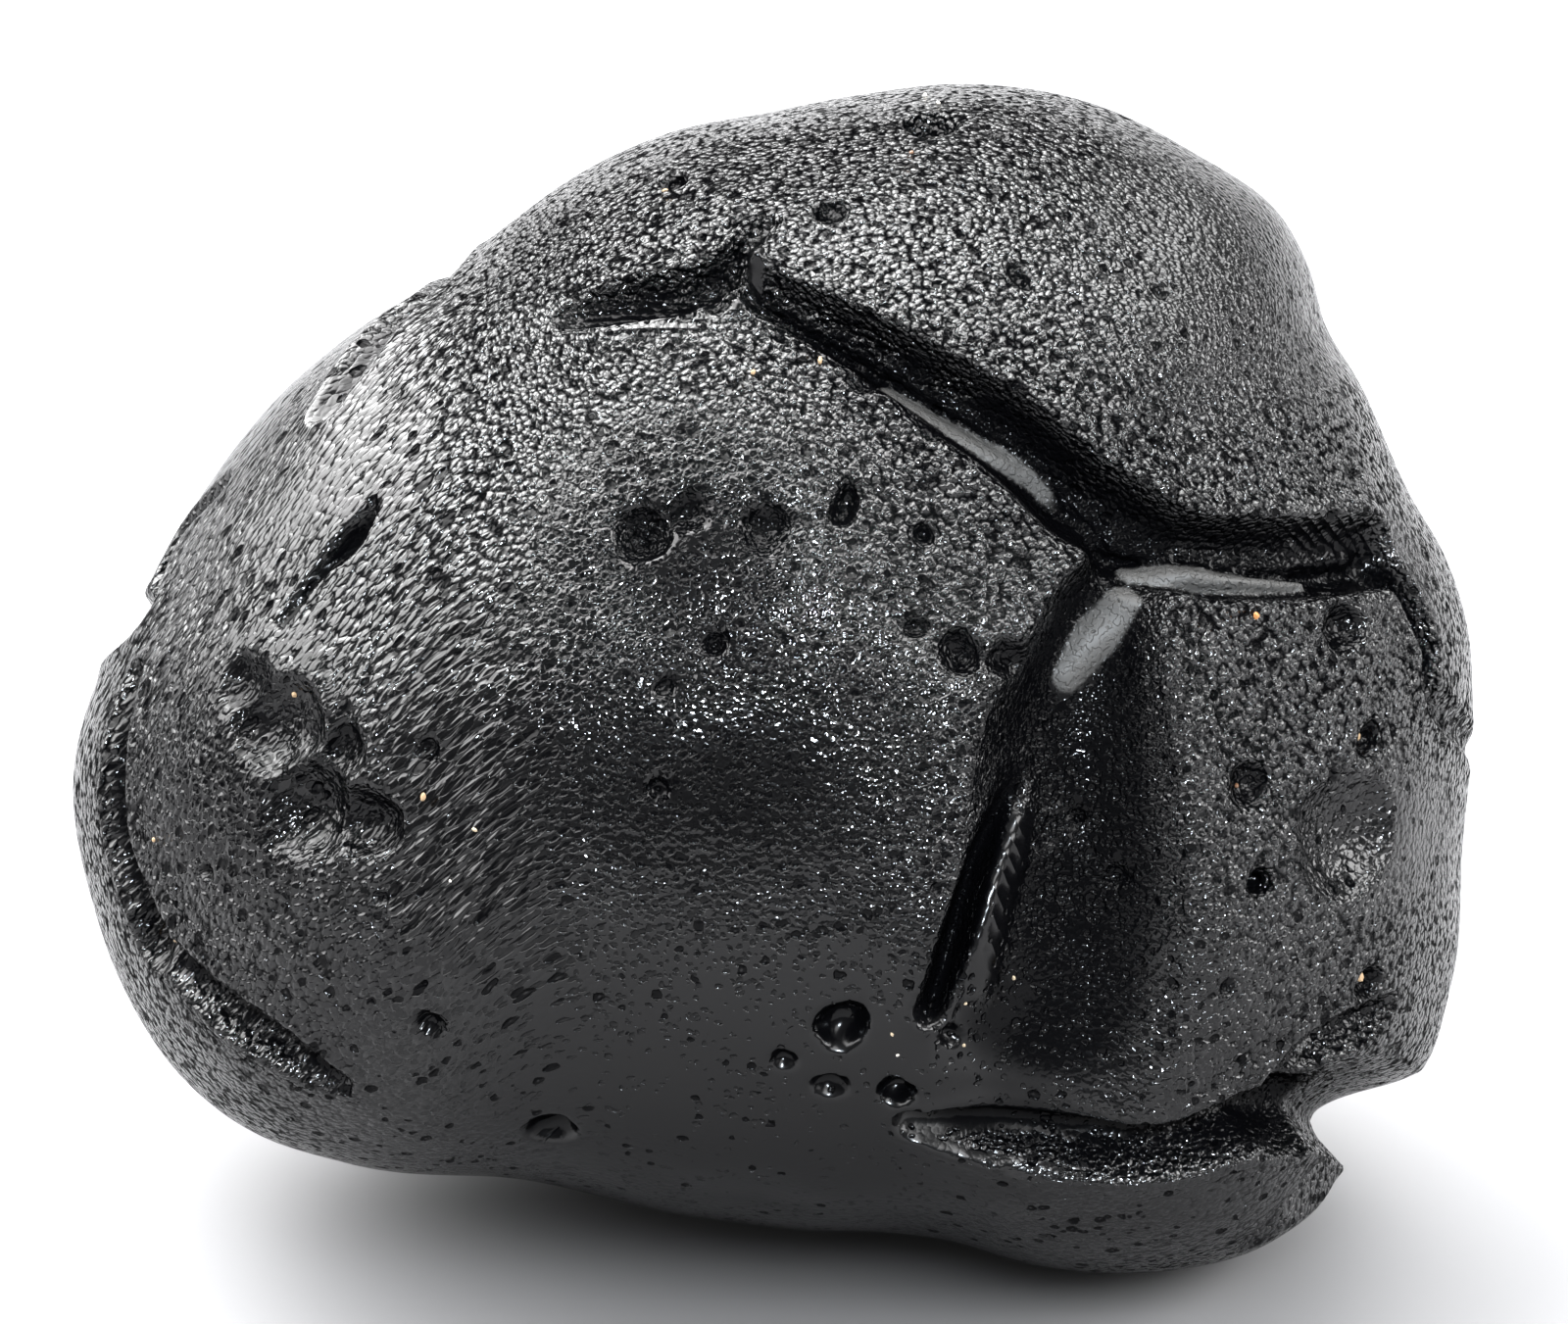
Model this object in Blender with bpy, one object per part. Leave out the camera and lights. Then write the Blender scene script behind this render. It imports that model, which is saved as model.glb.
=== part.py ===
"""A natural tektite: one rounded lump of black glass, grooved and pitted, lying on its underside.

The lump is shaped in the frame of the face that is looked at, in millimetres: "across" runs to the
right, "up" to the top of that face and "near" out of it. It is then leaned back into the world,
where +Z is up, and ground flat in the one small place where it lies.
"""

import math

import bmesh
import bpy
import numpy as np
from mathutils import Matrix, Vector, noise

MM = 0.001
TINY = 1e-6  # points closer than this are one, and nothing is divided by less

# Driving dimensions, in millimetres and degrees
FRONT_DEPTH = 18.6  # from the middle of the lump out to the face that is looked at
BACK_DEPTH = 18.4  # and to the face behind
ROUNDNESS = 2.3  # 2 is an ellipsoid, and more is boxier
LEAN = 25.0  # how far the face leans back from upright, in degrees
READ_FROM = 400.0  # how far in front of the middle the marks of the face are read from
REST_CUT = 0.9  # how much of the underside is flat, measured up from its lowest point
LIP = 0.12  # how far the edges of a groove stand proud of the skin beside them
LIP_PLACE, LIP_WIDTH = 1.25, 0.3  # where that is and how wide, in reaches of the groove

# How fine the lump is
SPHERE_LEVEL = 7  # a sphere of 81,920 triangles
SOFTENING = 0.5  # how much one pass eases the steps that a fine mesh leaves along sharp edges
TRIANGLES = 9400  # what is left once the smooth stretches are thinned out
ROUTE_STEPS = 60  # how finely a groove's route is followed
REST_SNAP = 0.15  # a point this close to the flat underside is moved on to it

# The outline of the face, clockwise from the left, as (across, up)
OUTLINE = (
    (-25.9, -3.9), (-24.7, 0.5), (-23.4, 2.7), (-21.5, 6.2), (-18.1, 10.7), (-15.2, 13.1),
    (-12.1, 15.0), (-9.8, 16.8), (-6.8, 18.9), (-3.9, 20.2), (0.1, 21.0), (3.3, 21.6),
    (8.0, 22.0), (11.4, 21.5), (15.7, 19.5), (18.8, 17.3), (19.9, 15.3), (20.5, 13.2),
    (21.7, 11.1), (23.7, 6.7), (25.0, 4.5), (25.8, 2.0), (26.0, -0.9), (25.6, -6.4),
    (25.3, -10.8), (23.8, -14.9), (21.2, -18.0), (20.3, -19.4), (18.6, -20.7), (13.2, -21.9),
    (9.9, -21.7), (7.0, -20.9), (0.4, -20.3), (-3.2, -19.8), (-9.8, -18.4), (-15.9, -17.8),
    (-18.8, -16.9), (-21.4, -15.1), (-24.3, -10.8), (-25.2, -8.2),
)

# Slow swells of the whole lump: (wavelength, height)
SWELLS = ((15.0, 0.45), (6.5, 0.2), (3.0, 0.07))
SWELL_FADE = 7.0  # nearer than this to the outline they die away

# The glass above the long groove stands proud of the glass below it
DOME_LIFT = 0.8
DOME_FADE = 7.0  # over this distance from the groove the lift dies away

# Grooves. A route's points are (across, up, side, reach to the left, reach to the right, depth), seen
# along the route. Side is 1 on the face that is looked at and -1 on the face behind. Sharp says how
# square the section is on the left and on the right: 1 is a V, 2 a round trough, 4 or more a U.
GROOVES = {
    "under the dome, from the thin bridge to the junction": {
        "sharp": (4.0, 2.2),
        "route": (
            (-0.6, 14.4, 1, 0.7, 0.6, 0.9),
            (2.3, 13.0, 1, 0.9, 0.9, 1.6),
            (5.5, 11.3, 1, 1.1, 1.2, 2.0),
            (8.3, 9.5, 1, 1.3, 1.5, 2.2),
            (11.2, 7.0, 1, 1.4, 1.7, 2.4),
            (14.1, 4.9, 1, 1.6, 1.5, 2.4),
        ),
    },
    "under the dome, from the junction to the right": {
        "sharp": (4.0, 3.0),
        "route": (
            (13.2, 5.0, 1, 1.4, 1.4, 2.3),
            (16.5, 4.4, 1, 1.5, 1.4, 2.2),
            (19.6, 4.5, 1, 1.4, 1.5, 1.9),
            (22.2, 4.7, 1, 1.3, 1.4, 1.5),
        ),
    },
    "narrow, on around the right block and over the edge": {
        "sharp": (2.5, 2.5),
        "route": (
            (21.9, 5.0, 1, 0.8, 0.8, 1.4),
            (23.4, 3.4, 1, 0.7, 0.7, 1.4),
            (24.3, 1.4, 1, 0.7, 0.7, 1.2),
            (25.0, -1.2, 1, 0.7, 0.7, 0.8),
            (25.5, -3.6, -1, 0.7, 0.7, 0.35),
            (24.2, -4.4, -1, 0.7, 0.7, 0.35),
        ),
    },
    "pitted, to the left of the bridge": {
        "sharp": (3.0, 2.0),
        "route": (
            (-7.6, 13.4, 1, 0.6, 0.6, 0.4),
            (-5.4, 14.1, 1, 1.0, 1.0, 1.0),
            (-3.2, 14.6, 1, 1.0, 1.0, 1.1),
            (-1.6, 15.2, 1, 0.8, 0.8, 1.0),
            (-0.1, 16.5, 1, 0.5, 0.5, 0.4),
        ),
    },
    "wide valley, from the junction down between the body and the right block": {
        "sharp": (2.2, 3.4),
        "route": (
            (13.0, 4.0, 1, 1.8, 1.5, 1.8),
            (12.3, 1.9, 1, 2.2, 2.3, 2.2),
            (11.6, -2.0, 1, 3.4, 3.6, 2.4),
            (11.2, -6.2, 1, 4.3, 3.9, 2.5),
            (10.8, -10.0, 1, 4.6, 4.0, 2.4),
            (10.2, -13.4, 1, 4.6, 4.2, 1.9),
            (9.6, -15.6, 1, 4.0, 3.6, 1.0),
        ),
    },
    "black slot along the left of the valley": {
        "sharp": (2.5, 2.5),
        "route": (
            (9.4, -3.6, 1, 0.6, 0.6, 1.8),
            (8.1, -6.4, 1, 0.7, 0.7, 2.6),
            (7.0, -9.4, 1, 0.7, 0.7, 2.6),
            (5.9, -12.3, 1, 0.6, 0.6, 1.6),
        ),
    },
    "across the bottom, between the right block and the foot": {
        "sharp": (3.0, 3.0),
        "route": (
            (5.3, -16.5, 1, 0.8, 0.8, 0.9),
            (8.0, -17.2, 1, 1.2, 1.2, 1.7),
            (11.6, -17.6, 1, 1.3, 1.3, 1.9),
            (15.0, -17.4, 1, 1.3, 1.4, 2.0),
            (18.0, -16.4, 1, 1.4, 1.4, 2.2),
            (20.2, -16.5, 1, 1.4, 1.2, 2.2),
        ),
    },
    "its wide mouth in the right edge, and on behind": {
        "sharp": (1.3, 3.0),
        "route": (
            (18.8, -15.6, 1, 1.2, 1.2, 1.5),
            (20.9, -17.0, 1, 3.6, 0.7, 2.1),
            (20.9, -17.0, -1, 3.6, 0.7, 2.1),
            (18.4, -15.4, -1, 2.6, 1.0, 1.8),
            (13.5, -13.2, -1, 0.8, 0.8, 0.7),
        ),
    },
    "leaf-shaped scoop above it": {
        "sharp": (2.0, 2.0),
        "route": (
            (18.6, -14.9, 1, 0.5, 0.5, 0.4),
            (20.4, -13.8, 1, 0.9, 0.9, 0.9),
            (22.2, -12.8, 1, 0.8, 0.8, 0.8),
            (23.2, -12.0, 1, 0.4, 0.4, 0.3),
        ),
    },
    "low on the left": {
        "sharp": (2.5, 2.5),
        "route": (
            (-22.0, -10.4, 1, 0.9, 0.9, 0.7),
            (-20.1, -12.1, 1, 1.0, 1.0, 1.1),
            (-18.1, -13.5, 1, 1.0, 1.0, 1.1),
            (-16.1, -14.8, 1, 0.6, 0.6, 0.5),
        ),
    },
    "upright, by the left edge": {
        "sharp": (2.0, 2.0),
        "route": (
            (-23.6, 0.2, 1, 0.6, 0.6, 0.5),
            (-24.3, -3.0, 1, 0.8, 0.8, 0.8),
            (-24.2, -6.0, 1, 0.9, 0.9, 1.0),
            (-23.2, -8.8, 1, 1.1, 1.1, 1.0),
        ),
    },
    "crevice that makes the notch in the left edge": {
        "sharp": (2.0, 2.5),
        "route": (
            (-20.4, 7.2, 1, 0.6, 0.6, 0.4),
            (-22.1, 4.9, 1, 0.9, 0.9, 0.9),
            (-23.2, 2.5, 1, 1.1, 1.2, 1.4),
            (-24.0, 1.8, -1, 1.4, 1.4, 1.7),
            (-21.6, 1.4, -1, 1.4, 1.4, 1.6),
            (-17.5, 1.5, -1, 0.9, 0.9, 0.7),
        ),
    },
    "thin slot on the left shoulder": {
        "sharp": (2.0, 2.0),
        "route": (
            (-14.9, 6.6, 1, 0.5, 0.5, 0.5),
            (-16.6, 4.4, 1, 0.6, 0.6, 0.8),
            (-18.3, 2.1, 1, 0.5, 0.5, 0.5),
        ),
    },
    "shallow, across the upper left slope and over the edge": {
        "sharp": (2.0, 2.0),
        "route": (
            (-9.5, 15.2, -1, 0.9, 0.9, 0.5),
            (-12.0, 15.0, 1, 1.0, 1.0, 0.7),
            (-13.6, 13.6, 1, 1.1, 1.1, 0.9),
            (-14.9, 12.2, 1, 1.1, 1.1, 0.9),
            (-16.6, 10.2, 1, 0.8, 0.8, 0.5),
        ),
    },
    "long, down the back": {
        "sharp": (3.5, 2.5),
        "route": (
            (-6.0, 17.5, -1, 0.8, 0.8, 0.8),
            (-3.0, 11.0, -1, 1.3, 1.3, 1.8),
            (1.5, 5.5, -1, 1.5, 1.5, 2.2),
            (3.0, -1.5, -1, 1.4, 1.4, 2.0),
            (8.0, -6.5, -1, 1.2, 1.2, 1.6),
            (13.5, -9.0, -1, 0.7, 0.7, 0.8),
        ),
    },
    "its branch, which meets the narrow groove that comes around the right block": {
        "sharp": (3.5, 3.0),
        "route": (
            (2.0, 4.6, -1, 1.2, 1.2, 1.8),
            (8.0, 5.6, -1, 1.3, 1.3, 1.9),
            (14.5, 4.0, -1, 1.2, 1.2, 1.7),
            (20.0, 0.5, -1, 1.0, 1.0, 1.3),
            (24.4, -3.6, -1, 0.7, 0.7, 0.35),
        ),
    },
    "shallow trough behind, low on the left": {
        "sharp": (2.0, 2.5),
        "route": (
            (-20.5, -2.0, -1, 0.8, 0.8, 0.6),
            (-14.5, -5.5, -1, 1.6, 1.6, 1.2),
            (-8.5, -7.0, -1, 1.4, 1.4, 1.1),
            (-3.0, -11.5, -1, 0.8, 0.8, 0.6),
        ),
    },
}
DOME_GROOVES = [name for name in GROOVES if name.startswith("under the dome")]

# Where the lump is fuller or leaner than its plain form, as (across, up, near, width, height)
BULGES = (
    (-6.0, -18.1, -9.0, 6.0, 0.9),  # the underside, so that it lies on its middle
    (12.5, -21.0, -9.5, 6.0, -0.6),  # and less on the foot
    (20.0, -4.0, 9.0, 5.0, 0.5),  # the right block
)

# Dents, as (across, up, side, radius, depth)
DENTS = (
    # the scooped hollows on the left
    (-18.4, -1.7, 1, 1.9, 0.8), (-17.2, -4.8, 1, 1.9, 0.9), (-15.0, -5.3, 1, 1.4, 0.8),
    (-19.6, 0.0, 1, 1.2, 0.5), (-16.0, -2.6, 1, 1.0, 0.5), (-23.0, -9.5, 1, 1.5, 1.0),
    # the dome's
    (5.9, 20.5, 1, 1.1, 1.0), (-3.6, 18.4, 1, 0.6, 0.6),
    # the body's
    (-4.7, 5.4, 1, 1.2, 0.6), (-3.2, 6.3, 1, 0.9, 0.4), (-0.2, 5.7, 1, 1.0, 0.5),
    (2.7, 6.6, 1, 0.7, 0.6), (-2.1, 1.4, 1, 0.5, 0.4), (5.8, 5.4, 1, 0.5, 0.4),
    (7.1, 1.0, 1, 0.9, 0.6), (8.8, 0.8, 1, 0.8, 0.6),
    (11.5, 2.2, 1, 0.6, 0.4), (2.6, -12.8, 1, 1.1, 0.8), (4.6, -15.2, 1, 0.8, 0.7),
    (2.3, -15.1, 1, 0.6, 0.5), (0.5, -14.0, 1, 0.5, 0.4), (-8.2, -16.8, 1, 1.0, 0.6),
    (-12.6, -12.7, 1, 0.6, 0.4),
    # the right block's, with the wide smooth one
    (21.3, 2.0, 1, 1.1, 0.7), (22.1, -2.2, 1, 0.7, 0.6), (17.7, -3.9, 1, 0.9, 0.5),
    (21.3, -5.7, 1, 2.4, 0.7), (18.1, -7.5, 1, 0.6, 1.0), (22.4, -11.3, 1, 0.8, 0.5),
    # those behind
    (-10.0, 9.0, -1, 2.2, 0.9), (10.5, 13.0, -1, 1.8, 0.8), (-15.0, 3.0, -1, 1.3, 0.8),
    (9.0, 0.0, -1, 1.6, 0.8), (16.0, -12.0, -1, 1.7, 0.8), (-6.0, -2.0, -1, 1.1, 0.9),
    (-16.0, -12.0, -1, 1.4, 0.7), (3.0, 15.5, -1, 0.9, 0.8),
)

# Small round pits all over
PITS = 150
PIT_RADIUS = (0.55, 1.0)  # the least and the most
PIT_DEPTH = 0.55  # in radii
PIT_SEED = 7
BOWL = 0.8  # how round a pit's section is: 0.5 is half a ball and 1 a shallow dish
DENT_IN_GROOVE = 0.5  # the share of a groove's depth that a dent in it adds to its own

# The chipped end of the foot: flat breaks, each as (a point across, up, near) and the way it faces
CHIPS = (
    ((20.3, -18.6, 2.5), (0.86, -0.20, 0.47)),
    ((20.0, -19.6, 4.0), (0.50, -0.62, 0.60)),
)
CHIP_REACH = 3.4  # a break cuts nothing further than this from its point

GLASS_COLOUR = (0.006, 0.006, 0.007, 1.0)
GLASS_ROUGHNESS = 0.22
GLASS_IOR = 1.5
CREASE = 40.0  # degrees: edges that bend more than this are shown sharp


def outline_reach(angle):
    """How far the outline is from the middle at each angle: one smooth closed curve through its points."""
    points = np.array(OUTLINE)
    angles = np.arctan2(points[:, 1], points[:, 0])
    order = np.argsort(angles)
    angles, reach = angles[order], np.hypot(points[order, 0], points[order, 1])
    turn = 2 * math.pi
    angles = np.concatenate((angles[-2:] - turn, angles, angles[:2] + turn))
    reach = np.concatenate((reach[-2:], reach, reach[:2]))
    slopes = np.gradient(reach, angles)
    after = np.clip(np.searchsorted(angles, angle), 1, len(angles) - 1)
    before = after - 1
    step = angles[after] - angles[before]
    t = (angle - angles[before]) / step
    return (
        reach[before] * (1 + 2 * t) * (1 - t) ** 2
        + slopes[before] * step * t * (1 - t) ** 2
        + reach[after] * t**2 * (3 - 2 * t)
        + slopes[after] * step * t**2 * (t - 1)
    )


def skin_point(direction):
    """Where the plain rounded lump's skin lies in each direction from its middle."""
    unit = direction / np.linalg.norm(direction, axis=-1, keepdims=True)
    flat = np.hypot(unit[..., 0], unit[..., 1])
    reach = outline_reach(np.arctan2(unit[..., 1], unit[..., 0]))
    depth = np.where(unit[..., 2] > 0, FRONT_DEPTH, BACK_DEPTH)
    size = ((flat / reach) ** ROUNDNESS + (np.abs(unit[..., 2]) / depth) ** ROUNDNESS) ** (1 / ROUNDNESS)
    return unit / size[..., None]


def marked_point(across, up, side):
    """The skin's point that is seen at (across, up), read from in front, or from behind for side -1."""
    reach = float(outline_reach(np.array(math.atan2(up, across))))
    out = min(math.hypot(across, up) / reach, 1.0)
    depth = FRONT_DEPTH if side > 0 else BACK_DEPTH
    near = 0.0
    for _ in range(4):
        nearer = 1 - near / READ_FROM
        near = depth * max(1 - (out * nearer) ** ROUNDNESS, 0.0) ** (1 / ROUNDNESS)
    return np.array((across * nearer, up * nearer, near * side))


def smooth_route(values, count):
    """A smooth curve through the rows of values, as count rows."""
    values = np.asarray(values, float)
    padded = np.vstack((2 * values[0] - values[1], values, 2 * values[-1] - values[-2]))
    place = np.linspace(0, len(values) - 1, count)
    before = np.minimum(place.astype(int), len(values) - 2)
    t = (place - before)[:, None]
    a, b, c, d = (padded[before + i] for i in range(4))
    bend = 2 * a - 5 * b + 4 * c - d
    twist = 3 * b - 3 * c + d - a
    return 0.5 * (2 * b + (c - a) * t + bend * t**2 + twist * t**3)


def along_route(skin, normals, groove):
    """How far each point of the skin is from a groove's route, how squarely it lies to the left of it,
    from 1 straight out to the left to -1 straight out to the right, and the groove's sizes there."""
    rows = np.array(groove["route"])
    marks = np.array([marked_point(across, up, side) for across, up, side in rows[:, :3]])
    line = skin_point(smooth_route(marks, ROUTE_STEPS))
    sizes = smooth_route(rows[:, 3:], ROUTE_STEPS)
    heading = np.gradient(line, axis=0)
    best = np.full(len(skin), np.inf)
    nearest = np.zeros(len(skin), int)
    for index, point in enumerate(line):
        squared = ((skin - point) ** 2).sum(axis=1)
        closer = squared < best
        best[closer] = squared[closer]
        nearest[closer] = index
    distance = np.sqrt(best)
    sideways = np.cross(normals, heading[nearest])
    sideways /= np.linalg.norm(sideways, axis=1, keepdims=True)
    leftward = ((skin - line[nearest]) * sideways).sum(axis=1) / np.maximum(distance, TINY)
    return distance, leftward, sizes[nearest]


def groove_cut(skin, normals, groove):
    """How deep a groove cuts at each point, and how far its lips stand proud."""
    distance, leftward, sizes = along_route(skin, normals, groove)
    left = leftward > 0
    t = distance / np.where(left, sizes[:, 0], sizes[:, 1])
    depth = sizes[:, 2]
    cut = depth * (1 - np.minimum(t, 1.0) ** np.where(left, *groove["sharp"]))
    lip = LIP * np.minimum(depth, 1.0) * np.exp(-(((t - LIP_PLACE) / LIP_WIDTH) ** 2))
    return cut, np.where(t > 1, lip, 0.0)


def bowl(skin, centre, radius, depth):
    """A round pit's cut at each point: steep at its rim and round at its bottom."""
    squared = ((skin - centre) ** 2).sum(axis=1) / radius**2
    return depth * np.clip(1 - squared, 0, 1) ** BOWL


def swell(point):
    """The lump's slow unevenness at a point. It fades at the outline, which stays as measured."""
    uneven = sum(height * noise.noise(Vector(point) / length) for length, height in SWELLS)
    return uneven * min(abs(point[2]) / SWELL_FADE, 1.0)


def raised(skin, normals):
    """How far each point stands proud of the plain rounded lump."""
    height = np.array([swell(point) for point in skin])
    lift = np.zeros(len(skin))
    for name in DOME_GROOVES:
        distance, leftward, _ = along_route(skin, normals, GROOVES[name])
        above = np.maximum(leftward, 0.0) * np.exp(-((distance / DOME_FADE) ** 2))
        lift = np.maximum(lift, DOME_LIFT * above)
    for *centre, width, most in BULGES:
        squared = ((skin - centre) ** 2).sum(axis=1)
        height += most * np.exp(-squared / width**2)
    return height + lift


def dented(skin, cut):
    """The cut once the dents and the small pits are in it."""
    deeper = cut.copy()
    for across, up, side, radius, depth in DENTS:
        dent = bowl(skin, marked_point(across, up, side), radius, depth)
        deeper = np.maximum(deeper, np.where(dent > 0, dent + DENT_IN_GROOVE * cut, 0.0))
    chance = np.random.default_rng(PIT_SEED)
    for _ in range(PITS):
        centre = skin_point(chance.normal(size=3))
        radius = chance.uniform(*PIT_RADIUS)
        deeper = np.maximum(deeper, bowl(skin, centre, radius, PIT_DEPTH * radius))
    return deeper


def shaped(skin, normals):
    """The skin's points once everything is cut into them and raised on them."""
    height = raised(skin, normals)
    cut = np.zeros(len(skin))
    for groove in GROOVES.values():
        depth, lip = groove_cut(skin, normals, groove)
        cut = np.maximum(cut, depth)
        height += lip
    points = skin + normals * (height - dented(skin, cut))[:, None]
    return chipped(points)


def chipped(points):
    """The points with the foot's end broken off flat."""
    for place, facing in CHIPS:
        facing = np.array(facing) / np.linalg.norm(facing)
        past = (points - place) @ facing
        close = np.linalg.norm(points - place, axis=1) < CHIP_REACH
        points -= np.where(close & (past > 0), past, 0.0)[:, None] * facing
    return points


def lump_mesh():
    """The whole lump as a fine mesh, in the face's frame and in millimetres."""
    sphere = bmesh.new()
    bmesh.ops.create_icosphere(sphere, subdivisions=SPHERE_LEVEL, radius=1.0)
    mesh = bpy.data.meshes.new("lump")
    sphere.to_mesh(mesh)
    sphere.free()
    coordinates = np.empty(len(mesh.vertices) * 3)
    mesh.vertices.foreach_get("co", coordinates)
    skin = skin_point(coordinates.reshape(-1, 3))
    mesh.vertices.foreach_set("co", skin.ravel())
    mesh.update()
    normals = np.empty(len(mesh.vertices) * 3)
    mesh.vertex_normals.foreach_get("vector", normals)
    mesh.vertices.foreach_set("co", shaped(skin, normals.reshape(-1, 3)).ravel())
    mesh.update()
    return mesh


def thinned(mesh, triangles):
    """The same mesh with about this many triangles, most of them where it bends most."""
    helper = bpy.data.objects.new("thinning", mesh)
    bpy.context.scene.collection.objects.link(helper)
    soften = helper.modifiers.new("Soften", "SMOOTH")
    soften.factor = SOFTENING
    soften.iterations = 1
    decimate = helper.modifiers.new("Thin", "DECIMATE")
    decimate.ratio = triangles / len(mesh.polygons)
    graph = bpy.context.evaluated_depsgraph_get()
    result = bpy.data.meshes.new_from_object(helper.evaluated_get(graph))
    bpy.data.objects.remove(helper)
    bpy.data.meshes.remove(mesh)
    return result


def laid_down(mesh):
    """The lump leaned back into the world, in metres, flat where it lies and centred over its origin."""
    up_is_z = Matrix.Rotation(math.radians(90 - LEAN), 4, "X")
    mesh.transform(Matrix.Scale(MM, 4) @ up_is_z)
    solid = bmesh.new()
    solid.from_mesh(mesh)
    floor = min(vertex.co.z for vertex in solid.verts) + REST_CUT * MM
    for vertex in solid.verts:
        if abs(vertex.co.z - floor) < REST_SNAP * MM:
            vertex.co.z = floor
    everything = solid.verts[:] + solid.edges[:] + solid.faces[:]
    split = bmesh.ops.bisect_plane(
        solid, geom=everything, dist=TINY, plane_co=(0, 0, floor), plane_no=(0, 0, 1), clear_inner=True
    )
    rim = [part for part in split["geom_cut"] if isinstance(part, bmesh.types.BMEdge) and part.is_boundary]
    bmesh.ops.holes_fill(solid, edges=rim, sides=0)
    bmesh.ops.triangulate(solid, faces=[face for face in solid.faces if len(face.verts) > 3])
    xs = [vertex.co.x for vertex in solid.verts]
    ys = [vertex.co.y for vertex in solid.verts]
    middle = Vector(((min(xs) + max(xs)) / 2, (min(ys) + max(ys)) / 2, floor))
    bmesh.ops.translate(solid, verts=solid.verts, vec=-middle)
    bmesh.ops.recalc_face_normals(solid, faces=solid.faces)
    solid.to_mesh(mesh)
    solid.free()
    return mesh


def glass_material():
    material = bpy.data.materials.new("tektite_glass")
    material.use_nodes = True
    shader = material.node_tree.nodes["Principled BSDF"]
    shader.inputs["Base Color"].default_value = GLASS_COLOUR
    shader.inputs["Roughness"].default_value = GLASS_ROUGHNESS
    shader.inputs["Metallic"].default_value = 0.0
    shader.inputs["IOR"].default_value = GLASS_IOR
    return material


def build():
    for thing in list(bpy.data.objects):
        bpy.data.objects.remove(thing)
    parts = bpy.data.collections.new("tektite")
    bpy.context.scene.collection.children.link(parts)
    mesh = laid_down(thinned(lump_mesh(), TRIANGLES))
    mesh.name = "tektite"
    stone = bpy.data.objects.new("tektite", mesh)
    parts.objects.link(stone)
    mesh.materials.append(glass_material())
    mesh.shade_smooth()
    mesh.set_sharp_from_angle(angle=math.radians(CREASE))


build()
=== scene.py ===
import math

import bmesh
import bpy
import numpy as np
from mathutils import Matrix, Vector, noise
from mathutils.bvhtree import BVHTree


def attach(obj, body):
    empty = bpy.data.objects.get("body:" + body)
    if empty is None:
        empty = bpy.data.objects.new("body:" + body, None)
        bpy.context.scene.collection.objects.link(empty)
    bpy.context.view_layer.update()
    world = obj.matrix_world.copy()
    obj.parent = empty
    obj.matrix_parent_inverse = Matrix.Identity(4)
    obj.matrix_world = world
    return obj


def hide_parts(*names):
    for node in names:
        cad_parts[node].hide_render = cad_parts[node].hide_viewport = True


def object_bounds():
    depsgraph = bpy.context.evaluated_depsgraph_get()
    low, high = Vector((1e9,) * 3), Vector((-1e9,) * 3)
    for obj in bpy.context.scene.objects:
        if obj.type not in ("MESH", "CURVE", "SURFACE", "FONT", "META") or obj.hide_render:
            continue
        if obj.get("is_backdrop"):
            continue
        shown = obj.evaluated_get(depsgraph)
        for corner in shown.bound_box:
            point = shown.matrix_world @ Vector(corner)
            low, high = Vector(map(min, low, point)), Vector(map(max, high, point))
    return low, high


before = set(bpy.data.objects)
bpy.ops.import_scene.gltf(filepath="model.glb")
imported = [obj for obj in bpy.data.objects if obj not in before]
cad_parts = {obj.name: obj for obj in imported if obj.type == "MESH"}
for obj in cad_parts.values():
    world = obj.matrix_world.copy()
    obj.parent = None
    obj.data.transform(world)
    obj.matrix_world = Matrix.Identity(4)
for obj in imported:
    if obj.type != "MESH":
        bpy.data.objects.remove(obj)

cad_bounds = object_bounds()
scene = bpy.context.scene

# The stone
# A tektite: natural black glass, thrown up molten by an impact and set hard in flight. Lying in the
# soil then etched it, which cut the U-shaped grooves across it and the pits all over its skin.
# It is shaped in millimetres in the frame of the face that is looked at: "across" runs to the right,
# "up" to the top of that face and "near" out of it. Then it is leaned back and laid on the floor.

MM = 0.001
FRONT_DEPTH = 18.6  # from the middle of the lump out to the face that is looked at
BACK_DEPTH = 18.4  # and to the face behind
ROUNDNESS = 2.3  # 2 is an ellipsoid, and more is boxier
LEAN = 25.0  # how far the face leans back from upright, in degrees
READ_FROM = 400.0  # how far in front of the middle the marks of the face are read from
REST_CUT = 0.9  # how much of the underside is flat, measured up from its lowest point
LIP = 0.12  # how far the edges of a groove stand proud of the skin beside them
LIP_PLACE, LIP_WIDTH = 1.25, 0.3  # where that is and how wide, in reaches of the groove
LIP_TAIL = 3  # it has died away this many widths further out
SPHERE_LEVEL = 8  # the form is cut into a sphere of 327,680 triangles
TINY = 1e-6  # nothing is divided by less
ROUTE_STEPS = 120  # how finely a groove's route is followed
GRAIN = 0.15  # how fine the skin is when the pits are cut into it
TRIANGLES = 196000  # what is left once the smooth stretches are thinned out

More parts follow.
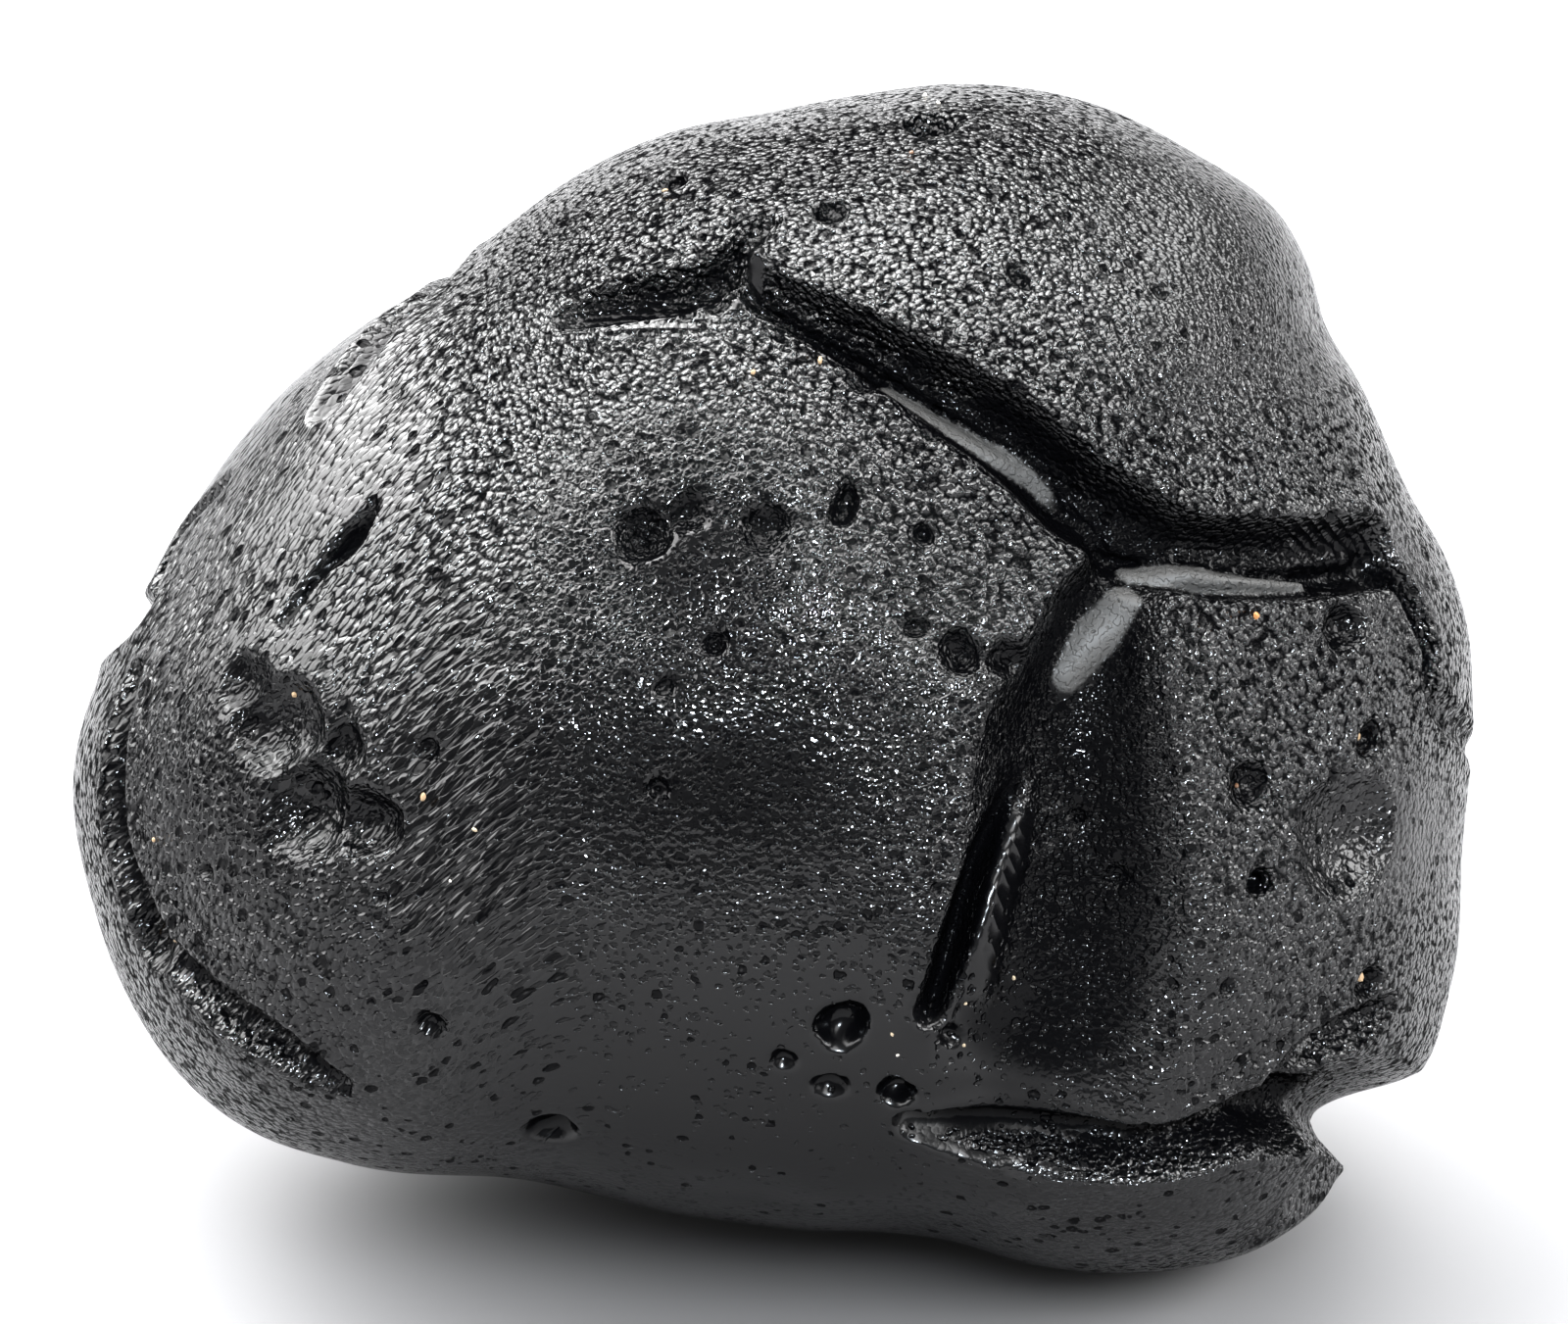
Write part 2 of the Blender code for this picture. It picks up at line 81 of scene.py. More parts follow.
# The outline of the face, clockwise from the left, as (across, up)
OUTLINE = (
    (-25.9, -3.9), (-24.7, 0.5), (-23.4, 2.7), (-21.5, 6.2), (-18.1, 10.7), (-15.2, 13.1),
    (-12.1, 15.0), (-9.8, 16.8), (-6.8, 18.9), (-3.9, 20.2), (0.1, 21.0), (3.3, 21.6),
    (8.0, 22.0), (11.4, 21.5), (15.7, 19.5), (18.8, 17.3), (19.9, 15.3), (20.5, 13.2),
    (21.7, 11.1), (23.7, 6.7), (25.0, 4.5), (25.8, 2.0), (26.0, -0.9), (25.6, -6.4),
    (25.3, -10.8), (23.8, -14.9), (21.2, -18.0), (20.3, -19.4), (18.6, -20.7), (13.2, -21.9),
    (9.9, -21.7), (7.0, -20.9), (0.4, -20.3), (-3.2, -19.8), (-9.8, -18.4), (-15.9, -17.8),
    (-18.8, -16.9), (-21.4, -15.1), (-24.3, -10.8), (-25.2, -8.2),
)

# Slow swells of the whole lump: (wavelength, height)
SWELLS = ((15.0, 0.45), (6.5, 0.2), (3.0, 0.07))
SWELL_FADE = 7.0  # nearer than this to the outline they die away
SLOPE_STEP = 0.3  # how far apart the form is read to find the way it faces
READ_STEPS = 4  # rounds to find how near a mark lies that is read from READ_FROM

# The glass above the long groove stands proud of the glass below it
DOME_LIFT = 0.8
DOME_FADE = 7.0  # over this distance from the groove the lift dies away
DOME_SEARCH = 2.5  # nothing is lifted further away than this, in fades

# Grooves. A route's points are (across, up, side, reach to the left, reach to the right, depth), seen
# along the route. Side is 1 on the face that is looked at and -1 on the face behind. Sharp says how
# square the section is on the left and on the right: 1 is a V, 2 a round trough, 4 or more a U. Gloom
# is the painted shade on its floor: how much of its shine the floor loses, as it would mirror the
# groove's own walls.
GROOVES = {
    "under the dome, from the thin bridge to the junction": {
        "sharp": (4.0, 2.2), "gloom": 0.95,
        "route": (
            (-0.6, 14.4, 1, 0.7, 0.6, 0.9), (2.3, 13.0, 1, 0.9, 0.9, 1.6),
            (5.5, 11.3, 1, 1.1, 1.2, 2.0), (8.3, 9.5, 1, 1.3, 1.5, 2.2),
            (11.2, 7.0, 1, 1.4, 1.7, 2.4), (14.1, 4.9, 1, 1.6, 1.5, 2.4),
        ),
    },
    "under the dome, from the junction to the right": {
        "sharp": (4.0, 3.0), "gloom": 0.8,
        "route": (
            (13.2, 5.0, 1, 1.4, 1.4, 2.3), (16.5, 4.4, 1, 1.5, 1.4, 2.2),
            (19.6, 4.5, 1, 1.4, 1.5, 1.9), (22.2, 4.7, 1, 1.3, 1.4, 1.5),
        ),
    },
    "narrow, on around the right block and over the edge": {
        "sharp": (2.5, 2.5), "gloom": 0.85,
        "route": (
            (21.9, 5.0, 1, 0.8, 0.8, 1.4), (23.4, 3.4, 1, 0.7, 0.7, 1.4),
            (24.3, 1.4, 1, 0.7, 0.7, 1.2), (25.0, -1.2, 1, 0.7, 0.7, 0.5),
            (25.5, -3.6, -1, 0.7, 0.7, 0.15), (24.2, -4.4, -1, 0.7, 0.7, 0.15),
        ),
    },
    "pitted, to the left of the bridge": {
        "sharp": (3.0, 2.0), "gloom": 0.9,
        "route": (
            (-7.6, 13.4, 1, 0.6, 0.6, 0.4), (-5.4, 14.1, 1, 1.0, 1.0, 1.0),
            (-3.2, 14.6, 1, 1.0, 1.0, 1.1), (-1.6, 15.2, 1, 0.8, 0.8, 1.0),
            (-0.1, 16.5, 1, 0.5, 0.5, 0.4),
        ),
    },
    "wide valley, from the junction down between the body and the right block": {
        "sharp": (2.2, 2.2), "gloom": 0.85,
        "route": (
            (13.0, 4.0, 1, 1.8, 1.5, 1.8), (12.3, 1.9, 1, 2.2, 2.3, 2.2),
            (11.6, -2.0, 1, 3.4, 3.6, 2.4), (11.2, -6.2, 1, 4.3, 3.9, 2.5),
            (10.8, -10.0, 1, 4.6, 4.0, 2.4), (10.2, -13.4, 1, 4.6, 4.2, 1.9),
            (9.6, -15.6, 1, 4.0, 3.6, 1.0),
        ),
    },
    "black slot along the left of the valley": {
        "sharp": (2.5, 2.5), "gloom": 1.0,
        "route": (
            (9.4, -3.6, 1, 0.6, 0.6, 1.8), (8.1, -6.4, 1, 0.7, 0.7, 2.6),
            (7.0, -9.4, 1, 0.7, 0.7, 2.6), (5.9, -12.3, 1, 0.6, 0.6, 1.6),
        ),
    },
    "across the bottom, between the right block and the foot": {
        "sharp": (3.0, 3.0), "gloom": 0.9,
        "route": (
            (5.3, -16.5, 1, 0.8, 0.8, 0.9), (8.0, -17.2, 1, 1.2, 1.2, 1.7),
            (11.6, -17.6, 1, 1.3, 1.3, 1.9), (15.0, -17.4, 1, 1.3, 1.4, 2.0),
            (18.0, -16.4, 1, 1.4, 1.4, 2.2), (20.2, -16.5, 1, 1.4, 1.2, 2.2),
        ),
    },
    "its wide mouth in the right edge, and on behind": {
        "sharp": (1.3, 3.0), "gloom": 0.35,
        "route": (
            (18.8, -15.6, 1, 1.2, 1.2, 1.5), (20.9, -17.0, 1, 3.6, 0.7, 2.1),
            (20.9, -17.0, -1, 3.6, 0.7, 2.1), (18.4, -15.4, -1, 2.6, 1.0, 1.8),
            (13.5, -13.2, -1, 0.8, 0.8, 0.7),
        ),
    },
    "leaf-shaped scoop above it": {
        "sharp": (2.0, 2.0), "gloom": 0.6,
        "route": (
            (18.6, -14.9, 1, 0.5, 0.5, 0.4), (20.4, -13.8, 1, 0.9, 0.9, 0.9),
            (22.2, -12.8, 1, 0.8, 0.8, 0.8), (23.2, -12.0, 1, 0.4, 0.4, 0.3),
        ),
    },
    "low on the left": {
        "sharp": (2.5, 2.5), "gloom": 0.9,
        "route": (
            (-22.0, -10.4, 1, 0.9, 0.9, 0.7), (-20.1, -12.1, 1, 1.0, 1.0, 1.1),
            (-18.1, -13.5, 1, 1.0, 1.0, 1.1), (-16.1, -14.8, 1, 0.6, 0.6, 0.5),
        ),
    },
    "upright, by the left edge": {
        "sharp": (2.0, 2.0), "gloom": 0.8,
        "route": (
            (-23.6, 0.2, 1, 0.6, 0.6, 0.5), (-24.3, -3.0, 1, 0.8, 0.8, 0.8),
            (-24.2, -6.0, 1, 0.9, 0.9, 1.0), (-23.2, -8.8, 1, 1.1, 1.1, 1.0),
        ),
    },
    "crevice that makes the notch in the left edge": {
        "sharp": (2.0, 2.5), "gloom": 0.75,
        "route": (
            (-20.4, 7.2, 1, 0.6, 0.6, 0.4), (-22.1, 4.9, 1, 0.9, 0.9, 0.9),
            (-23.2, 2.5, 1, 1.1, 1.2, 1.4), (-24.0, 1.8, -1, 1.4, 1.4, 1.7),
            (-21.6, 1.4, -1, 1.4, 1.4, 1.6), (-17.5, 1.5, -1, 0.9, 0.9, 0.7),
        ),
    },
    "thin slot on the left shoulder": {
        "sharp": (2.0, 2.0), "gloom": 0.95,
        "route": (
            (-14.9, 6.6, 1, 0.25, 0.25, 0.3), (-15.8, 5.3, 1, 0.6, 0.6, 0.8),
            (-17.0, 4.0, 1, 0.35, 0.35, 0.5), (-18.3, 2.1, 1, 0.25, 0.25, 0.4),
        ),
    },
    "shallow, across the upper left slope and over the edge": {
        "sharp": (2.0, 2.0), "gloom": 0.5,
        "route": (
            (-9.5, 15.2, -1, 0.9, 0.9, 0.5), (-12.0, 15.0, 1, 1.0, 1.0, 0.7),
            (-13.6, 13.6, 1, 1.1, 1.1, 0.9), (-14.9, 12.2, 1, 1.1, 1.1, 0.9),
            (-16.6, 10.2, 1, 0.8, 0.8, 0.5),
        ),
    },
    "long, down the back": {
        "sharp": (3.5, 2.5), "gloom": 0.7,
        "route": (
            (-6.0, 17.5, -1, 0.8, 0.8, 0.8), (-3.0, 11.0, -1, 1.3, 1.3, 1.8),
            (1.5, 5.5, -1, 1.5, 1.5, 2.2), (3.0, -1.5, -1, 1.4, 1.4, 2.0),
            (8.0, -6.5, -1, 1.2, 1.2, 1.6), (13.5, -9.0, -1, 0.7, 0.7, 0.8),
        ),
    },
    "its branch, which meets the narrow groove that comes around the right block": {
        "sharp": (3.5, 3.0), "gloom": 0.7,
        "route": (
            (2.0, 4.6, -1, 1.2, 1.2, 1.8), (8.0, 5.6, -1, 1.3, 1.3, 1.9),
            (14.5, 4.0, -1, 1.2, 1.2, 1.7), (20.0, 0.5, -1, 1.0, 1.0, 1.3),
            (24.4, -3.6, -1, 0.7, 0.7, 0.35),
        ),
    },
    "shallow trough behind, low on the left": {
        "sharp": (2.0, 2.5), "gloom": 0.4,
        "route": (
            (-20.5, -2.0, -1, 0.8, 0.8, 0.6), (-14.5, -5.5, -1, 1.6, 1.6, 1.2),
            (-8.5, -7.0, -1, 1.4, 1.4, 1.1), (-3.0, -11.5, -1, 0.8, 0.8, 0.6),
        ),
    },
}
# This one is too thin for the solid
GROOVES["thin, under the ledge"] = {
    "sharp": (1.5, 1.5), "gloom": 1.0,
    "route": (
        (4.9, 10.1, 1, 0.2, 0.2, 0.3), (7.2, 8.8, 1, 0.28, 0.28, 0.7),
        (9.6, 7.0, 1, 0.28, 0.28, 0.7), (11.7, 4.9, 1, 0.22, 0.22, 0.4),
    ),
}
DOME_GROOVES = [name for name in GROOVES if name.startswith("under the dome")]

# Smooth ribs of glass that stand in the grooves or beside them, as (across, up, side, reach, height)
RIBS = {
    "ledge under the main groove": (
        (4.4, 11.3, 1, 0.3, 0.3), (6.7, 9.9, 1, 0.4, 0.6),
        (8.7, 8.7, 1, 0.45, 0.7), (10.4, 7.5, 1, 0.3, 0.4),
        (11.2, 6.8, 1, 0.2, 0.1),
    ),
    "thin bridge that ends the main groove on the left": (
        (-0.9, 16.2, 1, 0.25, 0.1), (-0.5, 15.2, 1, 0.35, 0.4),
        (-0.9, 14.2, 1, 0.3, 0.3), (-1.9, 13.4, 1, 0.2, 0.1),
    ),
    "floor of the right groove": (
        (13.8, 4.2, 1, 0.35, 0.6), (15.6, 4.1, 1, 0.5, 1.3),
        (17.8, 3.9, 1, 0.45, 1.3), (20.4, 3.9, 1, 0.25, 0.7),
    ),
    "face at the head of the valley": (
        (13.4, 3.2, 1, 0.6, 0.4), (12.5, 1.7, 1, 0.8, 0.6),
        (11.6, 0.2, 1, 0.6, 0.4),
    ),
    "round bar beside the black slot": (
        (10.2, -3.9, 1, 0.4, 0.1), (9.3, -6.8, 1, 0.7, 0.4),
        (8.3, -9.8, 1, 0.8, 0.45), (7.6, -12.8, 1, 0.5, 0.1),
    ),
    "low ridge on the lower left": (
        (-14.6, -7.6, 1, 0.5, 0.02), (-12.0, -10.6, 1, 1.0, 0.1),
        (-8.6, -13.6, 1, 0.6, 0.02),
    ),
}
# Those with a painted sheen: a light grey base colour that stands in for the highlight on their smooth
# backs
PAINTED_SHEEN_RIBS = ("ledge under the main groove", "floor of the right groove", "face at the head of the valley")

RIB_SEARCH = 3.0  # a rib is looked for this much further from its route than it is wide
RIB_ROUNDNESS = 0.7  # 0.5 is a half round back, and more is sharper
RIB_EDGE = (0.8, 1.1)  # where its smooth skin ends, in reaches
RIB_ENDS = (0.05, 0.3)  # and how high it has to be to have some

# Where a groove's floor is rough and catches the light, as (across, up, side, width, height, how much)
SPARKLES = (
    (-0.1, 14.5, 1, 1.6, 1.1, 1.0), (2.1, 13.5, 1, 1.6, 1.1, 1.0), (4.2, 12.4, 1, 1.6, 1.1, 1.0),
    (6.6, 10.9, 1, 1.2, 1.0, 1.0), (11.5, 7.2, 1, 0.8, 0.7, 0.5), (-5.5, 14.3, 1, 1.2, 0.9, 0.8),
    (-3.2, 14.6, 1, 1.3, 0.9, 0.9), (-1.4, 15.9, 1, 0.9, 0.9, 1.0), (8.2, -16.9, 1, 2.4, 0.5, 1.0),
    (10.0, -17.9, 1, 2.0, 0.6, 0.9), (14.6, -17.4, 1, 2.0, 0.8, 0.9), (-20.4, -11.9, 1, 1.2, 1.0, 0.9),
    (-18.2, -13.3, 1, 1.2, 1.0, 0.9), (9.6, -5.1, 1, 0.8, 1.0, 0.8), (-16.6, -3.1, 1, 1.0, 0.8, 0.9),
    (-14.7, -2.9, 1, 0.9, 0.8, 0.8), (-4.6, 5.2, 1, 0.9, 0.8, 0.9),
)

# Where the skin is drawn into fine curved lines, as (across, up, side, width, height, how much), the
# middle that the lines curve around, as (across, up), and the distance between them
STRIAE = (
    ((19.9, 5.1, 1, 2.0, 1.3, 1.0), (14.5, 1.0), 0.42),
    ((13.4, -9.6, 1, 1.3, 2.6, 0.4), (8.0, -6.0), 0.4),
    ((21.2, -5.7, 1, 2.2, 2.4, 0.2), (18.0, -14.0), 0.5),
    ((-4.6, 13.0, 1, 3.6, 0.8, 0.9), (-4.0, -40.0), 0.35),
    ((-17.6, -4.0, 1, 2.5, 2.5, 0.3), (-28.0, -18.0), 0.45),
    ((8.6, -8.0, 1, 1.0, 4.0, 0.4), (-30.0, -30.0), 0.5),
    ((-8.0, 4.0, -1, 4.0, 5.0, 0.8), (3.0, -9.0), 0.45),
    ((13.0, -7.0, -1, 4.0, 3.0, 0.8), (4.0, 6.0), 0.45),
)

# Where the lump is fuller or leaner than its plain form, as (across, up, near, width, height)
BULGES = (
    (-6.0, -18.1, -9.0, 6.0, 0.9),  # the underside, so that it lies on its middle
    (12.5, -21.0, -9.5, 6.0, -0.6),  # and less on the foot
    (20.0, -4.0, 9.0, 5.0, 0.5),  # the right block
)

# Dents, as (across, up, side, radius, depth)
DENTS = (
    # the scooped hollows on the left
    (-18.4, -1.7, 1, 1.9, 0.8), (-17.2, -4.8, 1, 1.9, 0.9), (-15.0, -5.3, 1, 1.4, 0.8),
    (-19.6, 0.0, 1, 1.2, 0.5), (-16.0, -2.6, 1, 1.0, 0.5), (-23.0, -9.5, 1, 1.5, 1.0),
    # the dome's
    (5.9, 20.5, 1, 1.1, 1.0), (-3.6, 18.4, 1, 0.6, 0.6),
    # the body's
    (-4.7, 5.4, 1, 1.2, 0.6), (-3.2, 6.3, 1, 0.9, 0.4), (-0.2, 5.7, 1, 1.0, 0.5),
    (2.7, 6.6, 1, 0.7, 0.6), (-2.1, 1.4, 1, 0.5, 0.4), (5.8, 5.4, 1, 0.5, 0.4),
    (7.1, 1.0, 1, 0.9, 0.6), (8.8, 0.8, 1, 0.8, 0.6),
    (2.6, -12.8, 1, 1.1, 0.8), (4.6, -15.2, 1, 0.8, 0.7),
    (2.3, -15.1, 1, 0.6, 0.5), (0.5, -14.0, 1, 0.5, 0.4), (-8.2, -16.8, 1, 1.0, 0.6),
    (-12.6, -12.7, 1, 0.6, 0.4),
    # the right block's, with the wide smooth one
    (21.3, 2.0, 1, 1.1, 0.7), (22.1, -2.2, 1, 0.7, 0.6), (17.7, -3.9, 1, 0.9, 0.5),
    (21.3, -5.7, 1, 2.4, 0.7), (18.1, -7.5, 1, 0.6, 1.0), (22.4, -11.3, 1, 0.8, 0.5),
    # those behind
    (-10.0, 9.0, -1, 2.2, 0.9), (10.5, 13.0, -1, 1.8, 0.8), (-15.0, 3.0, -1, 1.3, 0.8),
    (9.0, 0.0, -1, 1.6, 0.8), (16.0, -12.0, -1, 1.7, 0.8), (-6.0, -2.0, -1, 1.1, 0.9),
    (-16.0, -12.0, -1, 1.4, 0.7), (3.0, 15.5, -1, 0.9, 0.8),
)

# Round pits all over: how many, and their radius. Smaller ones are the material's.
PITS = 130
PIT_RADIUS = (0.28, 0.6)
PIT_DEPTH = 0.8  # in radii
PIT_SEED = 7
BOWL = 0.8  # how round a pit's section is: 0.5 is half a ball and 1 a shallow dish
DENT_IN_GROOVE = 0.5  # the share of a groove's depth that a dent in it adds to its own
DENTS_DEEPER = 1.3
RAGGED = ((1.6, 0.35), (0.6, 0.12))  # how far the rims of dents and pits wander: (wavelength, height)

# The chipped end of the foot: flat breaks, each as (a point across, up, near) and the way it faces
CHIPS = (
    ((20.3, -18.6, 2.5), (0.86, -0.20, 0.47)),
    ((20.0, -19.6, 4.0), (0.50, -0.62, 0.60)),
)
CHIP_REACH = 3.4  # a break cuts nothing further than this from its point

PATCH_EDGE = 1.5  # how sharply every patch ends: 1 is a soft blot, and more has an edge

# Gloom, the painted shade: how deep in a groove it starts and is full, in the groove's depth, how far out
# in a dent it starts to fade and ends, in radii, and what a dent has: this much less for each millimetre
# of radius
GLOOM_IN_GROOVE = (0.1, 0.6)
GLOOM_IN_DENT = (0.8, 1.05)
GLOOM_REACH = 1.3  # the skin looked at around a dent, in radii
GLOOM_DEPTH = 2.0  # and up and down from it
DENT_GLOOM, DENT_GLOOM_LESS = 1.2, 0.45
DENT_GLOOM_ENDS = (0.2, 0.75)
SPARKLE_GLOOM = (0.2, 0.6)  # only what is as gloomy as this sparkles

# Where the skin is flat between fine pits, not pebbly, and darkened by painted shade, as (across, up,
# side, width, height, how flat)
FLAT_PATCHES = (
    (-3.0, 4.5, 1, 5.0, 4.5, 0.9), (-18.5, -3.0, 1, 4.0, 5.0, 0.7),
    (-2.0, -3.6, 1, 11.0, 7.0, 0.95), (0.5, -13.0, 1, 16.0, 9.0, 0.9),
    (11.0, -6.0, 1, 4.0, 8.0, 0.85), (4.0, 6.0, -1, 9.0, 7.0, 0.7),
    (-6.0, -9.0, -1, 12.0, 9.0, 0.85),
)

# Where the skin is smooth between sparse pits, as (across, up, side, width, height, how smooth)
SMOOTH_PATCHES = (
    (0.5, -16.0, 1, 15.0, 7.5, 1.0), (16.5, 15.0, 1, 5.0, 6.0, 0.7),
    (-17.5, 8.5, 1, 6.0, 8.0, 0.8), (22.0, -5.5, 1, 3.0, 3.0, 0.8),
    (22.0, 3.5, 1, 2.5, 2.5, 0.6), (12.0, -19.0, 1, 8.0, 3.0, 0.6),
    (-4.0, -8.0, -1, 9.0, 8.0, 0.8), (12.0, 10.0, -1, 7.0, 7.0, 0.7),
)


def outline_reach(angle):
    """How far the outline is from the middle at each angle: one smooth closed curve."""
    points = np.array(OUTLINE)
    angles = np.arctan2(points[:, 1], points[:, 0])
    order = np.argsort(angles)
    angles, reach = angles[order], np.hypot(points[order, 0], points[order, 1])
    turn = 2 * math.pi
    angles = np.concatenate((angles[-2:] - turn, angles, angles[:2] + turn))
    reach = np.concatenate((reach[-2:], reach, reach[:2]))
    slopes = np.gradient(reach, angles)
    after = np.clip(np.searchsorted(angles, angle), 1, len(angles) - 1)
    before = after - 1
    step = angles[after] - angles[before]
    t = (angle - angles[before]) / step
    return (
        reach[before] * (1 + 2 * t) * (1 - t) ** 2
        + slopes[before] * step * t * (1 - t) ** 2
        + reach[after] * t**2 * (3 - 2 * t)
        + slopes[after] * step * t**2 * (t - 1)
    )


def fullness(points):
    """1 on the plain rounded lump's skin, less inside it and more outside."""
    flat = np.hypot(points[..., 0], points[..., 1])
    reach = outline_reach(np.arctan2(points[..., 1], points[..., 0]))
    depth = np.where(points[..., 2] > 0, FRONT_DEPTH, BACK_DEPTH)
    return (flat / reach) ** ROUNDNESS + (np.abs(points[..., 2]) / depth) ** ROUNDNESS


def skin_point(direction):
    """Where the plain rounded lump's skin lies in each direction from its middle."""
    return direction / fullness(direction)[..., None] ** (1 / ROUNDNESS)


def skin_facing(points):
    """The way that the plain lump's skin faces under each point."""
    slopes = []
    for move in np.eye(3) * SLOPE_STEP:
        slopes.append(fullness(points + move) - fullness(points - move))
    slopes = np.stack(slopes, axis=-1)
    return slopes / np.linalg.norm(slopes, axis=-1, keepdims=True)


def marked_point(across, up, side):
    """The skin's point that is seen at (across, up), read from in front, or from behind for side -1."""
    reach = float(outline_reach(np.array(math.atan2(up, across))))
    out = min(math.hypot(across, up) / reach, 1.0)
    depth = FRONT_DEPTH if side > 0 else BACK_DEPTH
    near = 0.0
    for _ in range(READ_STEPS):
        nearer = 1 - near / READ_FROM
        near = depth * max(1 - (out * nearer) ** ROUNDNESS, 0.0) ** (1 / ROUNDNESS)
    return np.array((across * nearer, up * nearer, near * side))


def smooth_route(values, count):
    """A smooth curve through the rows of values, as count rows."""
    values = np.asarray(values, float)
    padded = np.vstack((2 * values[0] - values[1], values, 2 * values[-1] - values[-2]))
    place = np.linspace(0, len(values) - 1, count)
    before = np.minimum(place.astype(int), len(values) - 2)
    t = (place - before)[:, None]
    a, b, c, d = (padded[before + i] for i in range(4))
    bend = 2 * a - 5 * b + 4 * c - d
    twist = 3 * b - 3 * c + d - a
    return 0.5 * (2 * b + (c - a) * t + bend * t**2 + twist * t**3)


def eased(values, low, high):
    """0 at or under low, 1 at or over high, and an eased step between them."""
    t = np.clip((values - low) / (high - low), 0, 1)
    return t * t * (3 - 2 * t)


def along_route(points, groove, reach):
    """The points within reach of a groove's route: which they are, how far from it each is, how
    squarely it lies to the left of it, from 1 straight out to the left to -1 straight out to the
    right, and the groove's reach to either side and depth there."""
    rows = np.array(groove["route"])
    marks = np.array([marked_point(across, up, side) for across, up, side in rows[:, :3]])
    line = skin_point(smooth_route(marks, ROUTE_STEPS))
    sizes = smooth_route(rows[:, 3:], ROUTE_STEPS)
    facing = skin_facing(line)
    sideways = np.cross(facing, np.gradient(line, axis=0))
    sideways /= np.linalg.norm(sideways, axis=1, keepdims=True)
    inside = (points > line.min(axis=0) - reach) & (points < line.max(axis=0) + reach)
    close = np.flatnonzero(inside.all(axis=1))
    distance = np.full(len(close), np.inf)
    leftward = np.zeros(len(close))
    nearest = np.zeros(len(close), int)
    for index in range(ROUTE_STEPS):
        offset = points[close] - line[index]
        offset -= (offset @ facing[index])[:, None] * facing[index]
        away = np.linalg.norm(offset, axis=1) + TINY
        closer = away < distance
        distance[closer] = away[closer]
        leftward[closer] = (offset @ sideways[index] / away)[closer]
        nearest[closer] = index
    return close, distance, leftward, sizes[nearest]


def groove_cut(points, groove):
    """How deep a groove cuts at each point, and how far its lips stand proud."""
    deepest = max(row[5] for row in groove["route"])
    widest = max(max(row[3:5]) for row in groove["route"]) * (LIP_PLACE + LIP_TAIL * LIP_WIDTH)
    close, distance, leftward, sizes = along_route(points, groove, widest + deepest)
    left = leftward > 0
    t = distance / np.where(left, sizes[:, 0], sizes[:, 1])
    depth = sizes[:, 2]
    cut, lip = np.zeros(len(points)), np.zeros(len(points))
    cut[close] = depth * (1 - np.minimum(t, 1.0) ** np.where(left, *groove["sharp"]))
    bump = LIP * np.minimum(depth, 1.0) * np.exp(-(((t - LIP_PLACE) / LIP_WIDTH) ** 2))
    lip[close] = np.where(t > 1, bump, 0.0)
    return cut, lip


def ragged(points):
    """The points moved about a little, so that what is cut round among them has an uneven rim."""
    moved = points.copy()
    for length, height in RAGGED:
        moved += height * np.array([noise.noise_vector(Vector(point) / length) for point in points])
    return moved


def bowl(skin, centre, radius, depth):
    """A round pit's cut at each point: steep at its rim and round at its bottom."""
    squared = ((skin - centre) ** 2).sum(axis=1) / radius**2
    return depth * np.clip(1 - squared, 0, 1) ** BOWL


def swell(point):
    """The lump's slow unevenness at a point. It fades at the outline, which stays as measured."""
    uneven = sum(height * noise.noise(Vector(point) / length) for length, height in SWELLS)
    return uneven * min(abs(point[2]) / SWELL_FADE, 1.0)


def raised(skin):
    """How far each point stands proud of the plain rounded lump."""
    height = np.array([swell(point) for point in skin])
    lift = np.zeros(len(skin))
    for name in DOME_GROOVES:
        close, distance, leftward, _ = along_route(skin, GROOVES[name], DOME_SEARCH * DOME_FADE)
        above = np.maximum(leftward, 0.0) * np.exp(-((distance / DOME_FADE) ** 2))
        lift[close] = np.maximum(lift[close], DOME_LIFT * above)
    for *centre, width, most in BULGES:
        squared = ((skin - centre) ** 2).sum(axis=1)
        height += most * np.exp(-squared / width**2)
    return height + lift


def dented(skin, cut):
    """The cut once the dents are in it."""
    deeper = cut.copy()
    uneven = ragged(skin)
    for across, up, side, radius, depth in DENTS:
        dent = bowl(uneven, marked_point(across, up, side), radius, DENTS_DEEPER * depth)
        deeper = np.maximum(deeper, np.where(dent > 0, dent + DENT_IN_GROOVE * cut, 0.0))
    return deeper


def chipped(points):
    """The points with the foot's end broken off flat."""
    for place, facing in CHIPS:
        facing = np.array(facing) / np.linalg.norm(facing)
        past = (points - place) @ facing
        close = np.linalg.norm(points - place, axis=1) < CHIP_REACH
        points -= np.where(close & (past > 0), past, 0.0)[:, None] * facing
    return points


def mesh_points(mesh):
    """A mesh's points and the way that the skin faces at each."""
    points = np.empty(len(mesh.vertices) * 3)
    mesh.vertices.foreach_get("co", points)
    normals = np.empty(len(mesh.vertices) * 3)
    mesh.vertex_normals.foreach_get("vector", normals)
    return points.reshape(-1, 3), normals.reshape(-1, 3)


def move_points(mesh, points):
    mesh.vertices.foreach_set("co", points.ravel())
    mesh.update()


def with_modifiers(mesh, *steps):
    """The mesh once each step, a modifier's type and its settings, has been applied to it."""
    helper = bpy.data.objects.new("helper", mesh)
    scene.collection.objects.link(helper)
    for kind, settings in steps:
        modifier = helper.modifiers.new(kind, kind)
        for name, value in settings.items():
            setattr(modifier, name, value)
    result = bpy.data.meshes.new_from_object(helper.evaluated_get(bpy.context.evaluated_depsgraph_get()))
    bpy.data.objects.remove(helper)
    bpy.data.meshes.remove(mesh)
    return result


